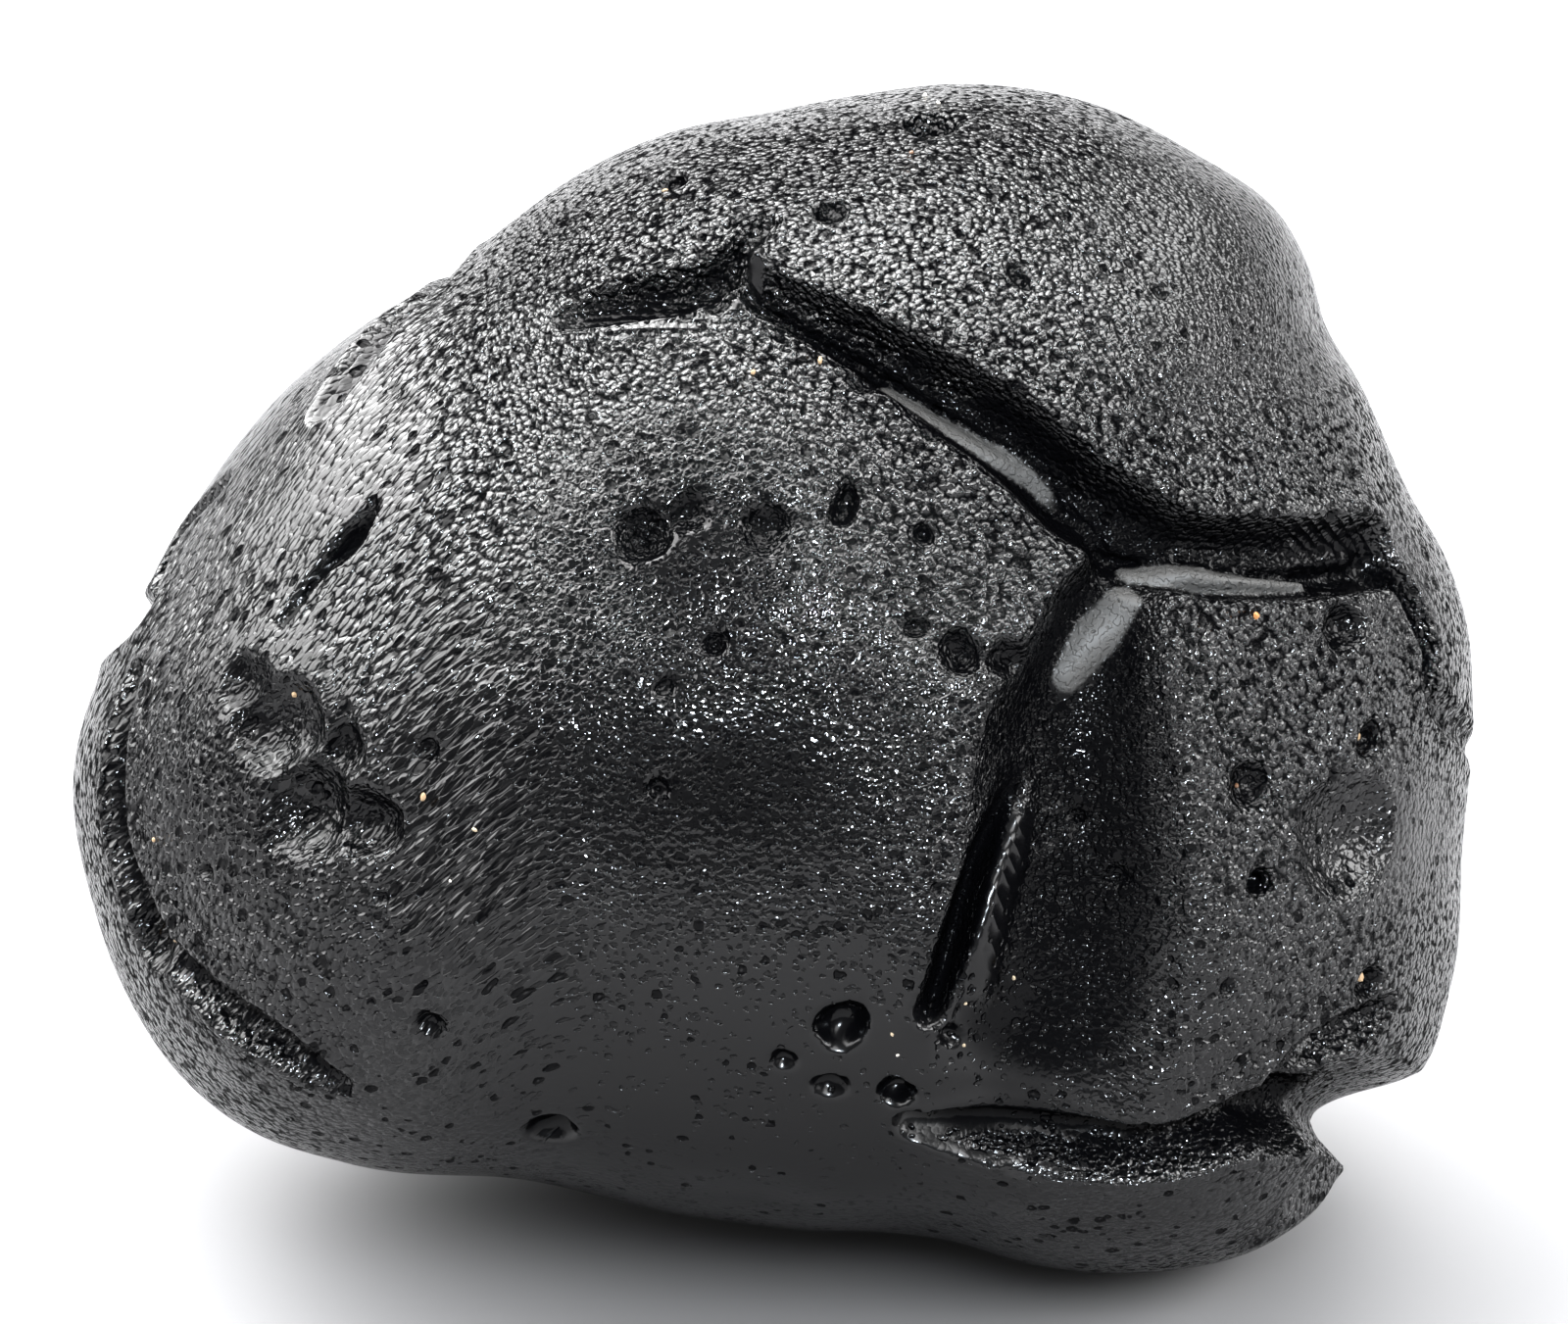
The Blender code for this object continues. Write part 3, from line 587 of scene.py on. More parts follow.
def grooved_lump():
    """The lump with its grooves and dents, as an even mesh fine enough for the pits."""
    sphere = bmesh.new()
    bmesh.ops.create_icosphere(sphere, subdivisions=SPHERE_LEVEL, radius=1.0)
    mesh = bpy.data.meshes.new("lump")
    sphere.to_mesh(mesh)
    sphere.free()
    skin = skin_point(mesh_points(mesh)[0])
    move_points(mesh, skin)
    _, normals = mesh_points(mesh)
    height = raised(skin)
    cut = np.zeros(len(skin))
    for groove in GROOVES.values():
        depth, lip = groove_cut(skin, groove)
        cut = np.maximum(cut, depth)
        height += lip
    ribbed = sum(rib(skin, route)[0] for route in RIBS.values())
    points = skin + normals * (height + ribbed - dented(skin, cut))[:, None]
    move_points(mesh, chipped(points))
    return with_modifiers(mesh, ("REMESH", {"mode": "VOXEL", "voxel_size": GRAIN}), ("TRIANGULATE", {}))


def patched(points, patches):
    """How much of some kind of skin each point has, by its patches: up to 1."""
    amount = np.zeros(len(points))
    for across, up, side, width, height, most in patches:
        squared = ((points[:, 0] - across) / width) ** 2 + ((points[:, 1] - up) / height) ** 2
        patch = most * np.exp(-(squared**PATCH_EDGE))
        amount = np.maximum(amount, np.where(points[:, 2] * side > 0, patch, 0.0))
    return amount


def rib(points, route):
    """How far a rib's round back stands up at each point, and 1 on it and 0 off it."""
    widest = max(row[3] for row in route)
    shape = {"route": [row[:4] + row[3:] for row in route]}
    close, distance, _, sizes = along_route(points, shape, widest + RIB_SEARCH)
    t = distance / sizes[:, 0]
    height, here = np.zeros(len(points)), np.zeros(len(points))
    height[close] = sizes[:, 2] * np.clip(1 - t**2, 0, 1) ** RIB_ROUNDNESS
    here[close] = (1 - eased(t, *RIB_EDGE)) * eased(sizes[:, 2], *RIB_ENDS)
    return height, here


def scattered_pits(points):
    """Places for the round pits among the points, fewer where the skin is smooth, and their radii."""
    chance = np.random.default_rng(PIT_SEED)
    centres = points[chance.choice(len(points), PITS, replace=False)]
    centres = centres[chance.random(PITS) > patched(centres, SMOOTH_PATCHES)]
    least, most = PIT_RADIUS
    return centres, least + (most - least) * chance.random(len(centres)) ** 2


def pits_cut(points, centres, radii):
    """How deep the round pits cut at each point."""
    order = np.argsort(points[:, 0])
    xs = points[order, 0]
    cut = np.zeros(len(points))
    for centre, radius in zip(centres, radii):
        low, high = np.searchsorted(xs, (centre[0] - radius, centre[0] + radius))
        near = order[low:high]
        cut[near] = np.maximum(cut[near], bowl(points[near], centre, radius, PIT_DEPTH * radius))
    return cut


def gloominess(points, pits):
    """The painted shade at each point: how much of its shine it loses, deep in a groove or on the wall of
    a dent or a pit.
    """
    gloom = np.zeros(len(points))
    for groove in GROOVES.values():
        cut, _ = groove_cut(points, groove)
        deepest = max(row[5] for row in groove["route"])
        gloom = np.maximum(gloom, groove["gloom"] * eased(cut / deepest, *GLOOM_IN_GROOVE))
    points = ragged(points)
    order = np.argsort(points[:, 0])
    xs = points[order, 0]
    dents = [(marked_point(*row[:3]), row[3]) for row in DENTS]
    for centre, radius in dents + list(zip(*pits)):
        reach = GLOOM_REACH * radius
        near = order[slice(*np.searchsorted(xs, (centre[0] - reach, centre[0] + reach)))]
        facing = skin_facing(centre[None])[0]
        offset = points[near] - centre
        inward = offset @ facing
        out = np.linalg.norm(offset - inward[:, None] * facing, axis=1) / radius
        inside = (1 - eased(out, *GLOOM_IN_DENT)) * (np.abs(inward) < GLOOM_DEPTH * radius)
        inside *= np.clip(DENT_GLOOM - DENT_GLOOM_LESS * radius, *DENT_GLOOM_ENDS)
        gloom[near] = np.maximum(gloom[near], inside)
    return gloom


def laid_down(mesh):
    """Leans the lump back into the world, in metres, flat where it lies and centred over its origin."""
    mesh.transform(Matrix.Rotation(math.radians(90 - LEAN), 4, "X"))
    points, _ = mesh_points(mesh)
    floor = points[:, 2].min() + REST_CUT
    points[:, 2] = np.maximum(points[:, 2], floor)
    middle = (points.min(axis=0) + points.max(axis=0)) / 2
    middle[2] = floor
    move_points(mesh, (points - middle) * MM)
    return middle * MM


lump = grooved_lump()
points, normals = mesh_points(lump)
pits = scattered_pits(points)
move_points(lump, points - normals * pits_cut(ragged(points), *pits)[:, None])
lump = with_modifiers(lump, ("DECIMATE", {"ratio": TRIANGLES / len(lump.polygons)}))
points, _ = mesh_points(lump)
bare = np.clip(sum(rib(points, route)[1] for route in RIBS.values()), 0, 1)
gloomy = gloominess(points, pits) * (1 - bare)
drawn_out, phase = np.zeros(len(points)), np.zeros(len(points))
for patch, middle, spacing in STRIAE:
    here = patched(points, (patch,))
    phase = np.where(here > drawn_out, np.linalg.norm(points[:, :2] - middle, axis=1) / spacing, phase)
    drawn_out = np.maximum(drawn_out, here)
skin_kinds = {
    "smooth": np.maximum(patched(points, SMOOTH_PATCHES), bare),
    "flat": np.maximum(patched(points, FLAT_PATCHES), bare),
    "satin_and_painted_sheen": np.clip(sum(rib(points, RIBS[name])[1] for name in PAINTED_SHEEN_RIBS), 0, 1),
    "gloom": gloomy,
    "sparkling": patched(points, SPARKLES) * eased(gloomy, *SPARKLE_GLOOM),
    "drawn_out": drawn_out,
    "phase": phase,
}
for name, amounts in skin_kinds.items():
    lump.attributes.new(name, "FLOAT", "POINT").data.foreach_set("value", amounts)
face_middle = -Vector(laid_down(lump))
lump.name = "tektite_glass"
lump.shade_smooth()
stone = bpy.data.objects.new("tektite_glass", lump)
scene.collection.objects.link(stone)

GLASS_BLACK = (0.0008, 0.0008, 0.001, 1.0)
PAINTED_SHEEN_GREY = (0.085, 0.082, 0.078, 1.0)  # painted sheen on the smooth ribs: a light grey that stands in for their highlight
GLASS_IOR = 1.5
NO_SHINE_IOR = 1.0  # of the black that gives the painted shade, for the walls that mirror each other
GLASS_ROUGHNESS = (0.05, 0.12)  # from its glossiest to its dullest places
SMOOTH_ROUGHNESS = 0.1  # what smooth skin has besides
SATIN_ROUGHNESS = 0.35  # and the smooth ribs
WALL_SHADE = 0.97  # painted shade: how much of its shine the wall of a small pit loses, as it would mirror its other wall
COARSE_WALLS = 0.85  # the coarse pits' share of that
SMALL_WALLS = 0.5  # the share of it that the small pits lose where the skin is smooth
FLAT_SHADE = 0.4  # painted shade: how much of its shine the flat skin loses
GAP_SHARPNESS = 1.5  # how fast the painted shade in the gaps between the pebbles goes with the pebbles
WALL_FADE = (0.0, 0.35)  # where a pit's wall starts and is full, in radii
WALL_END = 0.97  # and where it ends
GAP_FADE = (0.42, 0.8)  # where the gap around a pebble starts and is full, in spacings
# The layers of pits: spacing and depth, in millimetres and radii, and least and most radius, in spacings
COARSE_PITS = {"spacing": 0.5, "depth": 0.7, "least": 0.2, "most": 0.5}
SMALL_PITS = {"spacing": 0.25, "depth": 0.9, "least": 0.3, "most": 0.75}
COARSE_SHARE = (0.04, 0.4)  # of the places for one: where the skin is unpitted, and what all pitted adds
PEBBLES = (0.25, 0.9)  # their spacing and steepness
FINEST = (7.0, 0.06)  # the finest unevenness: waves in a millimetre, and height
SPECKS = 4.0  # of the grooves' floors and the sheened ribs: waves in a millimetre
SPECK_FADE = (0.46, 0.56)
SATIN_RIB_BUMPS = 0.04
SPARKLE_HEIGHT = 1.5  # of the pebbles where a groove's floor sparkles
PATCHES = 0.35  # of duller and of more pitted skin: waves in a millimetre
MOST_PITTED, SMOOTH_UNPITTED, PITTED_BY_PATCH, LEAST_PITTED = 1.15, 1.1, 0.6, 0.03
WOBBLE = (3.0, 0.25)  # how far from round the pits and pebbles are: waves in a millimetre, and reach
GLOOM_FLATTENS, LINES_FLATTEN = 0.6, 0.7  # how much of the pebbles' height each takes away
LINE_HEIGHT = 0.3
LINE_WANDER = 1.5  # how far the drawn lines wander, in lines
STRANDS = (0.697, 0.303, 0.650)  # the way that the left slope's skin is drawn out
STRANDS_MIDDLE = 11.0  # millimetres along it: the pits stay in place there
STRANDS_DRAWN = 0.5  # the pits are 1 / (1 - this) as long as they are wide
STRANDS_START, STRANDS_FULL = -6.0, -14.0  # across


class Reading:
    """A number that varies over a surface. Sums with it add Math nodes to its tree."""

    def __init__(self, nodes, socket):
        self.nodes = nodes
        self.socket = socket

    def maths(self, operation, *others):
        return self.nodes.add("Math", {"operation": operation}, (self, *others))

    def __add__(self, other):
        return self.maths("ADD", other)

    def __sub__(self, other):
        return self.maths("SUBTRACT", other)

    def __rsub__(self, other):
        return self.nodes.add("Math", {"operation": "SUBTRACT"}, (other, self))

    def __mul__(self, other):
        return self.maths("MULTIPLY", other)

    def __truediv__(self, other):
        return self.maths("DIVIDE", other)

    def __pow__(self, other):
        return self.maths("POWER", other)

    def over(self, other):
        """1 where it is more than other, and 0 elsewhere."""
        return self.maths("GREATER_THAN", other)

    def faded(self, low, high):
        """0 where it is at low, 1 where it is at high, and an eased step between them."""
        ends = {0: self, 1: low, 2: high}
        return self.nodes.add("MapRange", {"interpolation_type": "SMOOTHSTEP"}, ends)

    def least(self, other):
        return self.maths("MINIMUM", other)

    def most(self, other):
        return self.maths("MAXIMUM", other)

    __radd__ = __add__
    __rmul__ = __mul__


class Nodes:
    """The nodes of a material, the world or a node group, emptied and built up again."""

    def __init__(self, owner):
        if hasattr(owner, "use_nodes"):
            owner.use_nodes = True
        self.tree = getattr(owner, "node_tree", owner)
        self.tree.nodes.clear()

    def add(self, kind, settings=None, values=(), output=0):
        """Adds a node of this kind. Values go to its sockets, by number or by name."""
        node = self.tree.nodes.new(kind if "Node" in kind else "ShaderNode" + kind)
        for name, value in (settings or {}).items():
            setattr(node, name, value)
        pairs = values.items() if isinstance(values, dict) else enumerate(values)
        for name, value in pairs:
            if isinstance(value, Reading):
                self.tree.links.new(value.socket, node.inputs[name])
            else:
                node.inputs[name].default_value = value
        return Reading(self, node.outputs[output]) if node.outputs else node

    def ramp(self, factor, stops):
        """A colour ramp through the stops, each a place and a colour."""
        reading = self.add("ValToRGB", {}, (factor,))
        band = reading.socket.node.color_ramp
        while len(band.elements) < len(stops):
            band.elements.new(1.0)
        for element, (place, colour) in zip(band.elements, stops):
            element.position = place
            element.color = colour
        return reading


def cells(nodes, where, spacing):
    """How far each place is from the nearest of the middles strewn at this spacing, in spacings."""
    settings = {"voronoi_dimensions": "3D", "feature": "F1"}
    values = {"Vector": where, "Scale": 1 / spacing, "Randomness": 1.0}
    return nodes.add("TexVoronoi", settings, values, "Distance")


def etched_pits(nodes, where, share, spacing, depth, least, most):
    """A layer of round pits: their depth in millimetres, and 1 on their walls, where painted shade goes.
    Each cell of the spacing has a pit of a radius between least and most, in spacings, if it is one of
    its share."""
    distance = cells(nodes, where, spacing)
    chance = Reading(nodes, distance.socket.node.outputs["Color"])
    red = nodes.add("SeparateColor", {}, (chance,), "Red")
    green = Reading(nodes, red.socket.node.outputs["Green"])
    radius = least + (most - least) * red
    out = distance / radius
    here = 1 - green.over(share)
    inside = (1 - out**2).most(0.0)
    wall = out.faded(*WALL_FADE) * (1 - out.over(WALL_END)) * here
    return inside**0.5 * here * radius * (depth * spacing), wall


def pebbles(nodes, where, spacing, steepness):
    """A pebbly skin: its height in millimetres, and 1 in the gaps between its rounded heads, where
    painted shade goes.
    """
    out = cells(nodes, where, spacing)
    return 0 - out**2 * (steepness * spacing), out.faded(*GAP_FADE)


glass = bpy.data.materials.new("tektite_glass")
nodes = Nodes(glass)
metres = nodes.add("TexCoord", {}, (), "Object")
where = nodes.add("VectorMath", {"operation": "SCALE"}, {0: metres, "Scale": 1 / MM})
smooth, flat, satin_and_painted_sheen, gloom, sparkling, drawn_out, phase = [
    nodes.add("Attribute", {"attribute_name": name}, (), "Fac")
    for name in ("smooth", "flat", "satin_and_painted_sheen", "gloom", "sparkling", "drawn_out", "phase")
]
specks = nodes.add("TexNoise", {}, {"Vector": where, "Scale": SPECKS, "Detail": 1.0}, "Fac")
speckled = specks.faded(*SPECK_FADE)
gloom = gloom * (1 - sparkling * speckled)
patchy = nodes.add("TexNoise", {}, {"Vector": where, "Scale": PATCHES, "Detail": 2.0}, "Fac")

# On the left slope the pits and the skin between them are drawn out along STRANDS
across = nodes.add("SeparateXYZ", {}, (where,))
along = nodes.add("VectorMath", {"operation": "DOT_PRODUCT"}, (where, STRANDS), "Value")
shift = (along - STRANDS_MIDDLE) * across.faded(STRANDS_START, STRANDS_FULL) * -STRANDS_DRAWN
shift = nodes.add("VectorMath", {"operation": "SCALE"}, {0: STRANDS, "Scale": shift})
where = nodes.add("VectorMath", {"operation": "ADD"}, (where, shift))

wobble = nodes.add("TexNoise", {}, {"Vector": where, "Scale": WOBBLE[0], "Detail": 1.0}, "Color")
wobble = nodes.add("VectorMath", {"operation": "MULTIPLY_ADD"}, (wobble, (WOBBLE[1],) * 3, where))
pitting = MOST_PITTED - smooth * SMOOTH_UNPITTED + (patchy - 0.5) * PITTED_BY_PATCH
pitting = pitting.most(LEAST_PITTED).least(1.0)
share = (pitting * COARSE_SHARE[1] + COARSE_SHARE[0]) * (1 - satin_and_painted_sheen)
coarse, coarse_walls = etched_pits(nodes, wobble, share, **COARSE_PITS)
small, small_walls = etched_pits(nodes, wobble, pitting, **SMALL_PITS)
small, small_walls = small * flat, small_walls * flat * (1 - smooth * SMALL_WALLS)
heads, gaps = pebbles(nodes, wobble, *PEBBLES)
finest = nodes.add("TexNoise", {}, {"Vector": where, "Scale": FINEST[0], "Detail": 0.0}, "Fac")
finest = finest * FINEST[1]
pebbly = pitting * (1 - gloom * GLOOM_FLATTENS) * (1 - flat) * (1 - drawn_out * LINES_FLATTEN)
lines = (phase + patchy * LINE_WANDER).maths("FRACT")
lines = (lines - 0.5) ** 2 * drawn_out * LINE_HEIGHT
height = (heads + finest) * pebbly.most(sparkling * SPARKLE_HEIGHT)
height = height + lines + speckled * satin_and_painted_sheen * SATIN_RIB_BUMPS - coarse.most(small * (1 - drawn_out))
bump = nodes.add("Bump", {}, {"Strength": 1.0, "Distance": MM, "Height": height})
glossiest, dullest = GLASS_ROUGHNESS
roughness = glossiest + (dullest - glossiest) * patchy
roughness = roughness + smooth * SMOOTH_ROUGHNESS + satin_and_painted_sheen * SATIN_ROUGHNESS
# Painted sheen: the smooth ribs get a light grey base colour that stands in for their highlight
painted_sheen_colour = nodes.ramp(satin_and_painted_sheen, ((0.0, GLASS_BLACK), (1.0, PAINTED_SHEEN_GREY)))
skins = [
    nodes.add("BsdfPrincipled", {}, {
        "Base Color": colour, "Roughness": roughness, "IOR": ior, "Normal": bump,
    })
    for colour, ior in ((painted_sheen_colour, GLASS_IOR), (GLASS_BLACK, NO_SHINE_IOR))
]
# Painted shade: the glass is mixed towards a black that does not shine on the walls of pits, in the gaps
# between pebbles, deep in grooves and dents, and over the flat skin
walls = (coarse_walls * COARSE_WALLS).most(small_walls).most(gaps * pebbly**GAP_SHARPNESS)
walls = walls.most(gloom).most(flat * FLAT_SHADE) * WALL_SHADE
nodes.add("OutputMaterial", {}, {"Surface": nodes.add("MixShader", {}, (walls, *skins))})
lump.materials.append(glass)

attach(stone, "root")
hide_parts("tektite")

# Sand grains
# Grains of quartz sand from the soil that the tektite lay in, white to brown. They are wedged in its
# pits and grooves, where washing has left them. Each is an uneven little ball that is sunk in part.

# Those that are seen from in front, as (across, up, radius, tone): from 0, white, to 1, brown
GRAINS = (
    (5.7, 21.5, 0.12, 0.0), (6.2, 21.2, 0.1, 0.0), (5.2, 19.3, 0.1, 1.0), (-3.9, 18.0, 0.1, 0.5),
    (1.8, 11.9, 0.13, 0.5), (-0.7, 11.5, 0.13, 0.5), (-18.0, -0.4, 0.15, 0.5), (-12.9, -4.3, 0.14, 0.5),
    (-22.9, -5.9, 0.12, 0.5), (-22.9, -9.9, 0.3, 0.5), (-11.0, -5.5, 0.1, 0.25),
    (-11.9, -7.4, 0.08, 0.0), (17.9, 2.4, 0.15, 0.75), (22.1, -2.1, 0.2, 0.5), (17.5, -3.9, 0.12, 1.0),
    (22.3, -11.1, 0.25, 0.5), (21.5, -12.9, 0.12, 0.75), (9.2, -11.8, 0.08, 0.25),
    (7.2, -12.4, 0.08, 0.25), (7.1, -14.0, 0.08, 0.25), (4.5, -13.0, 0.08, 0.25), (4.7, -13.8, 0.08, 0.0),
)
GRAINS_BEHIND = 26
GRAIN_RADIUS = (0.08, 0.2)  # of those behind
GRAIN_SEED = 11
SUNK = 0.25  # of a grain's radius
GRAIN_ROUGHNESS = 0.45
UNEVENNESS = 0.5  # how far a grain is from round
GRAIN_LUMPS = 1.3  # waves in a grain's radius
LEAST_STRETCH, MOST_STRETCH = (0.75, 0.75, 0.6), (1.3, 1.1, 0.9)
WHOLE_TURNS = (6.28, 6.28, 6.28)  # about each axis, in radians
SEARCH_FROM, SEARCH_REACH = 3.0, 9.0  # the skin is looked for from this far above a place, this deep
CLEAR_OF_FLOOR = 2.0  # those behind are higher than this
LEAST_GLOOM = 0.4  # those behind are wedged where the stone is at least as gloomy as this
GRAIN_TONES = (
    (0.0, (0.75, 0.72, 0.66, 1.0)),
    (0.25, (0.52, 0.43, 0.30, 1.0)),
    (0.5, (0.45, 0.31, 0.18, 1.0)),
    (0.75, (0.50, 0.22, 0.07, 1.0)),
    (1.0, (0.16, 0.08, 0.04, 1.0)),
)


def wedged(places):
    """The point of the stone's surface that is under or over each place, along the way it faces."""
    corners = [corner.co for corner in lump.vertices]
    surface = BVHTree.FromPolygons(corners, [tuple(face.vertices) for face in lump.polygons])
    return [
        surface.ray_cast(place + facing * SEARCH_FROM * MM, -facing, SEARCH_REACH * MM)[0]
        for place, facing in places
    ]


leaned = Matrix.Rotation(math.radians(90 - LEAN), 3, "X")
places = []
for across, up, *_ in GRAINS:
    mark = marked_point(across, up, 1)
    place = leaned @ Vector(mark) * MM + face_middle
    places.append((place, leaned @ Vector(skin_facing(mark[None])[0])))
sizes = [row[2] for row in GRAINS]
tones = [row[3] for row in GRAINS]
chance = np.random.default_rng(GRAIN_SEED)
sheltered = [
    corner for corner, value in zip(lump.vertices, lump.attributes["gloom"].data)
    if value.value > LEAST_GLOOM and corner.co.y > 0 and corner.co.z > CLEAR_OF_FLOOR * MM
]
for index in chance.choice(len(sheltered), GRAINS_BEHIND, replace=False):
    places.append((sheltered[index].co.copy(), sheltered[index].normal.copy()))
    sizes.append(chance.uniform(*GRAIN_RADIUS))
    tones.append(chance.random())
spots = bpy.data.meshes.new("grain_spots")
middles = [
    hit - facing * (SUNK * size * MM)
    for hit, (_, facing), size in zip(wedged(places), places, sizes)
]
spots.from_pydata(middles, [], [])
spots.attributes.new("grain_size", "FLOAT", "POINT").data.foreach_set("value", np.array(sizes) * MM)
spots.attributes.new("grain_tone", "FLOAT", "POINT").data.foreach_set("value", tones)

sand = bpy.data.materials.new("sand_grains")
nodes = Nodes(sand)
tone = nodes.add("Attribute", {"attribute_name": "grain_tone"}, (), "Fac")
surface = nodes.add("BsdfPrincipled", {}, {
    "Base Color": nodes.ramp(tone, GRAIN_TONES),
    "Roughness": GRAIN_ROUGHNESS,
})
nodes.add("OutputMaterial", {}, {"Surface": surface})


def grain_maker():
    """Puts an uneven ball on each point, turned and stretched by chance."""
    tree = bpy.data.node_groups.new("grains", "GeometryNodeTree")
    face = tree.interface
    face.new_socket("Geometry", in_out="INPUT", socket_type="NodeSocketGeometry")
    face.new_socket("Seed", in_out="INPUT", socket_type="NodeSocketInt")
    face.new_socket("Unevenness", in_out="INPUT", socket_type="NodeSocketFloat")
    face.new_socket("Geometry", in_out="OUTPUT", socket_type="NodeSocketGeometry")
    nodes = Nodes(tree)
    points = nodes.add("NodeGroupInput")
    seed, unevenness = [
        Reading(nodes, points.socket.node.outputs[name]) for name in ("Seed", "Unevenness")
    ]
    ball = nodes.add("GeometryNodeMeshIcoSphere", {}, {"Radius": 1.0, "Subdivisions": 2}, "Mesh")
    place = nodes.add("GeometryNodeInputPosition")
    push = nodes.add("TexNoise", {}, {"Vector": place, "Scale": GRAIN_LUMPS}, "Color")
    push = nodes.add("VectorMath", {"operation": "SUBTRACT"}, (push, (0.5, 0.5, 0.5)))
    push = nodes.add("VectorMath", {"operation": "SCALE"}, {0: push, "Scale": unevenness})
    ball = nodes.add("GeometryNodeSetPosition", {}, {"Geometry": ball, "Offset": push})
    drawn = {"data_type": "FLOAT_VECTOR"}
    turned = nodes.add("FunctionNodeRandomValue", drawn, {"Max": WHOLE_TURNS, "Seed": seed})
    stretches = {"Min": LEAST_STRETCH, "Max": MOST_STRETCH, "Seed": seed}
    stretched = nodes.add("FunctionNodeRandomValue", drawn, stretches)
    size = nodes.add("GeometryNodeInputNamedAttribute", {"data_type": "FLOAT"}, {"Name": "grain_size"})
    size = nodes.add("VectorMath", {"operation": "SCALE"}, {0: stretched, "Scale": size})
    put = {"Points": points, "Instance": ball, "Rotation": turned, "Scale": size}
    balls = nodes.add("GeometryNodeInstanceOnPoints", {}, put)
    balls = nodes.add("GeometryNodeRealizeInstances", {}, (balls,))
    balls = nodes.add("GeometryNodeSetMaterial", {}, {"Geometry": balls, "Material": sand})
    nodes.add("NodeGroupOutput", {}, (balls,))
    return tree


helper = bpy.data.objects.new("grain_spots", spots)
scene.collection.objects.link(helper)
maker = helper.modifiers.new("grains", "NODES")
maker.node_group = grain_maker()
for item in maker.node_group.interface.items_tree:
    if item.name in ("Seed", "Unevenness") and item.in_out == "INPUT":
        maker[item.identifier] = {"Seed": GRAIN_SEED, "Unevenness": UNEVENNESS}[item.name]
grain_mesh = bpy.data.meshes.new_from_object(helper.evaluated_get(bpy.context.evaluated_depsgraph_get()))
bpy.data.objects.remove(helper)
grain_mesh.name = "sand_grains"
grains = bpy.data.objects.new("sand_grains", grain_mesh)
scene.collection.objects.link(grains)
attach(grains, "root")

# The floor and the light
# A sheet of pale paper in a dim room, with softboxes on the left, behind above and on the right. A small
# bluish lamp near the camera puts the glints on the stone, and a weak one lightens the paper's shadow.

PAPER = (0.235, 0.235, 0.24, 1.0)
PAPER_ROUGHNESS = 0.9
# Softboxes, as (degrees to the right of the camera's side, degrees up, half their width where they are
# full and where they end, brightness)
SOFTBOXES = (
    (-105.0, 44.0, 18.0, 40.0, 11.0), (180.0, 62.0, 20.0, 46.0, 9.5),
    (20.0, 42.0, 4.0, 16.0, 9.0), (80.0, 30.0, 12.0, 24.0, 13.0),
    (-150.0, 30.0, 10.0, 20.0, 12.0),
)
LAMP_PLACE = (0.02, -0.40, 0.27)  # in metres
LAMP_WIDTH = 0.04
LAMP_WATTS = 4.5
LAMP_COLOUR = (0.82, 0.91, 1.0)
FILL_PLACE = (0.0, -0.7, 0.7)  # of the lamp that lights the paper alone
FILL_WIDTH = 0.5
FILL_WATTS = 4.0
FILL_COLOUR = (0.88, 0.93, 1.0)
LAMPS_AIM = (0.0, 0.0, 0.02)
ROOM, ROOM_OVERHEAD = 0.2, 0.3  # how bright the room is, and how much brighter overhead
OVERHEAD_FADE = (-0.1, 0.6)  # how far up that starts and is full
FLOOR_REACH = 1.0  # in metres, to each side

paper = bpy.data.materials.new("paper")
nodes = Nodes(paper)
surface = nodes.add("BsdfPrincipled", {}, {"Base Color": PAPER, "Roughness": PAPER_ROUGHNESS})
nodes.add("OutputMaterial", {}, {"Surface": surface})
sheet = bpy.data.meshes.new("floor")
r = FLOOR_REACH
sheet.from_pydata([(-r, -r, 0), (r, -r, 0), (r, r, 0), (-r, r, 0)], [], [(0, 1, 2, 3)])
sheet.materials.append(paper)
floor = bpy.data.objects.new("floor", sheet)
scene.collection.objects.link(floor)
floor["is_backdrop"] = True

room = bpy.data.worlds.new("room")
scene.world = room
nodes = Nodes(room)
direction = nodes.add("TexCoord", {}, (), "Generated")
upward = nodes.add("SeparateXYZ", {}, (direction,), "Z")
light = ROOM + ROOM_OVERHEAD * upward.faded(*OVERHEAD_FADE)
for turn, rise, inner, outer, brightness in SOFTBOXES:
    turn, rise = math.radians(turn), math.radians(rise)
    middle = (math.cos(rise) * math.sin(turn), -math.cos(rise) * math.cos(turn), math.sin(rise))
    toward = nodes.add("VectorMath", {"operation": "DOT_PRODUCT"}, (direction, middle), "Value")
    edge = (math.cos(math.radians(outer)), math.cos(math.radians(inner)))
    light = light + brightness * toward.faded(*edge)
glow = nodes.add("Background", {}, {"Strength": light, "Color": (1.0, 1.0, 1.0, 1.0)})
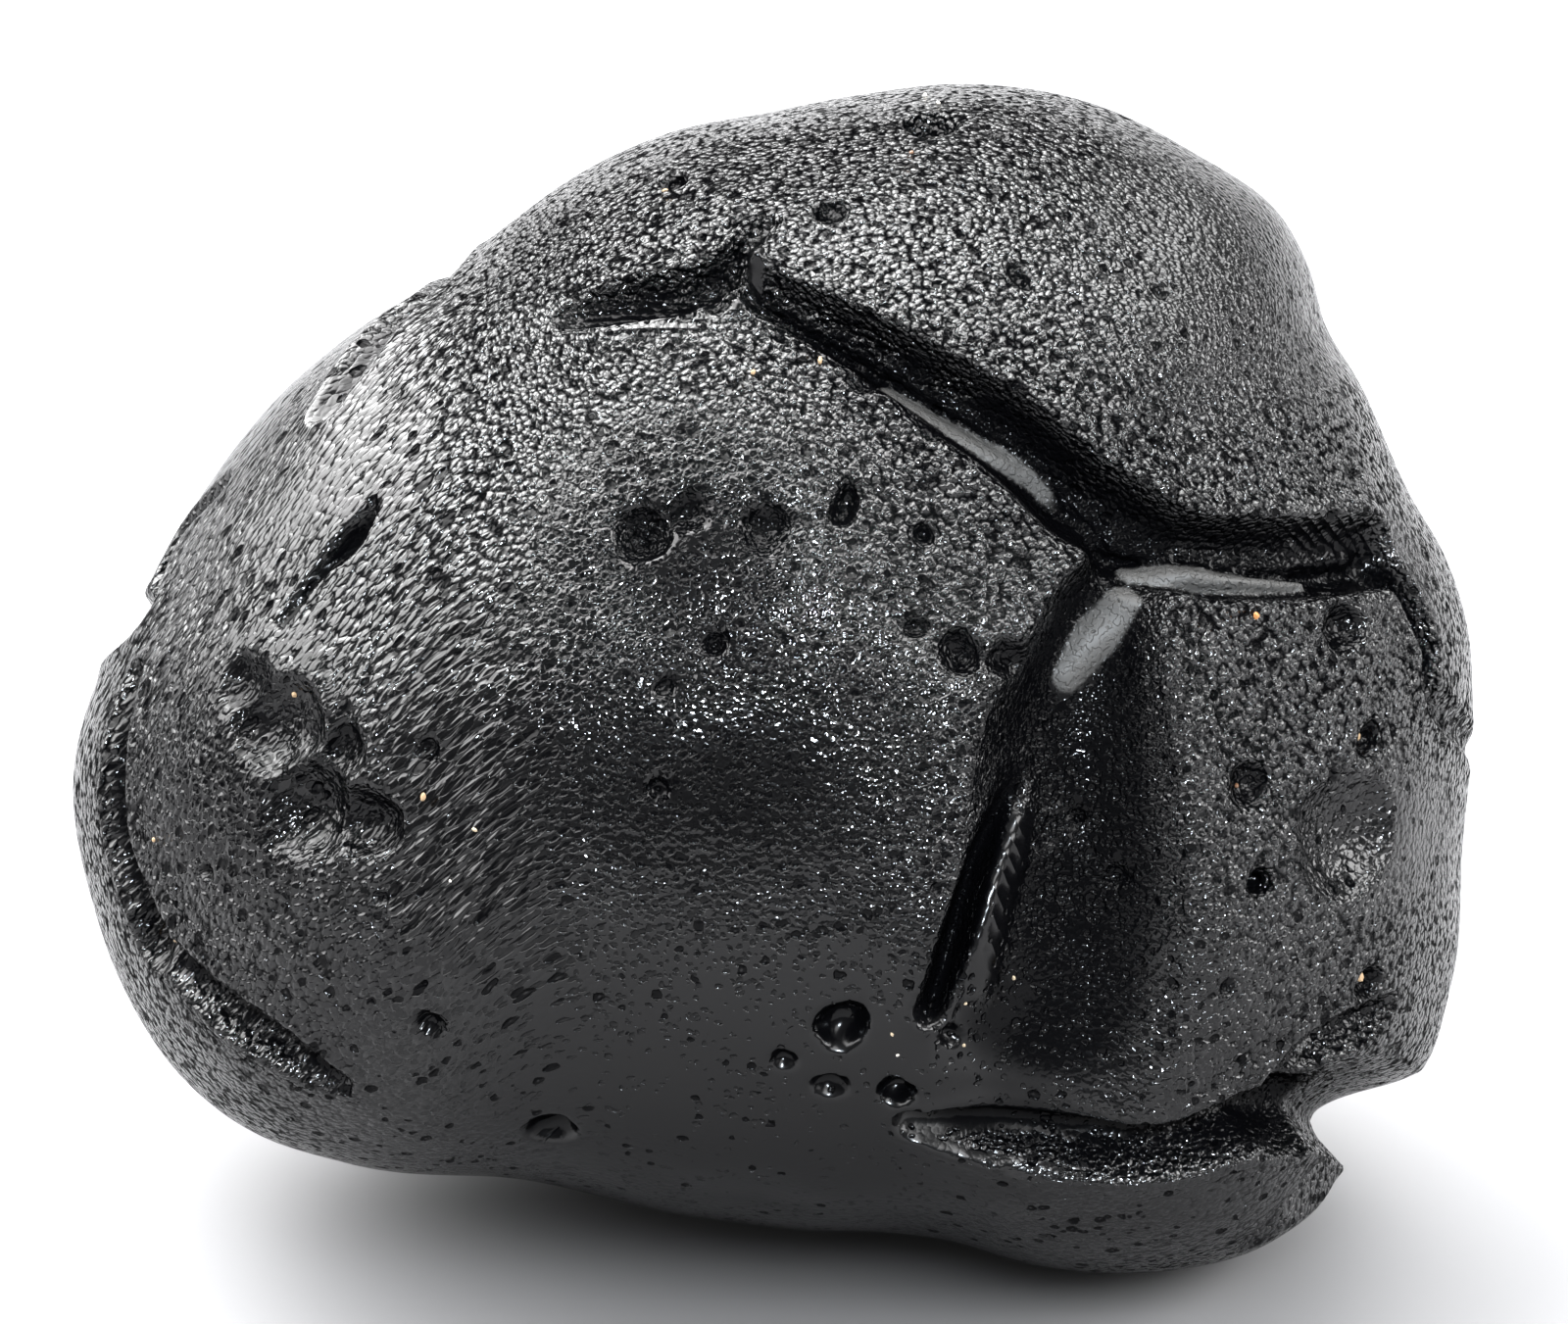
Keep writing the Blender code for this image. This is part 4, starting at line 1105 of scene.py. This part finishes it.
nodes.add("OutputWorld", {}, {"Surface": glow})


def lamp(name, place, width, watts, colour, lit):
    """A round lamp that is turned to the stone and lights these objects alone."""
    light = bpy.data.lights.new(name, "AREA")
    light.shape = "DISK"
    light.size = width
    light.energy = watts
    light.color = colour
    holder = bpy.data.objects.new(name, light)
    holder.location = place
    holder.rotation_euler = (Vector(LAMPS_AIM) - holder.location).to_track_quat("-Z", "Y").to_euler()
    receivers = bpy.data.collections.new(name + "_lights")
    for thing in lit:
        receivers.objects.link(thing)
    holder.light_linking.receiver_collection = receivers
    scene.collection.objects.link(holder)


lamp("small_lamp", LAMP_PLACE, LAMP_WIDTH, LAMP_WATTS, LAMP_COLOUR, [stone])
lamp("fill_lamp", FILL_PLACE, FILL_WIDTH, FILL_WATTS, FILL_COLOUR, [floor])

# The camera
# It looks straight at the face, from in front and above.

IMAGE_WIDTH, IMAGE_HEIGHT = 1600, 1351
PIXEL = 0.0364  # millimetres of the stone
FACE_MIDDLE = (788, 694)  # where the middle of the face is in the image
SENSOR = 36.0
NEAREST_SEEN = 0.01  # in metres

lean = math.radians(LEAN)
across = Vector((1, 0, 0))
up = Vector((0, math.sin(lean), math.cos(lean)))
near = Vector((0, -math.cos(lean), math.sin(lean)))
aim = face_middle
aim = aim + across * (IMAGE_WIDTH / 2 - FACE_MIDDLE[0]) * PIXEL * MM
aim = aim + up * (FACE_MIDDLE[1] - IMAGE_HEIGHT / 2) * PIXEL * MM
lens = bpy.data.cameras.new("camera")
lens.sensor_width = SENSOR
lens.lens = SENSOR * READ_FROM / (IMAGE_WIDTH * PIXEL)
lens.clip_start = NEAREST_SEEN
camera = bpy.data.objects.new("camera", lens)
turned = Matrix((across, up, near)).transposed().to_4x4()
camera.matrix_world = Matrix.Translation(aim + near * READ_FROM * MM) @ turned
scene.collection.objects.link(camera)
scene.camera = camera
scene.view_settings.view_transform = "Standard"

sizes = {
    "cad": [list(corner) for corner in cad_bounds],
    "visual": [list(corner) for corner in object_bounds()],
}
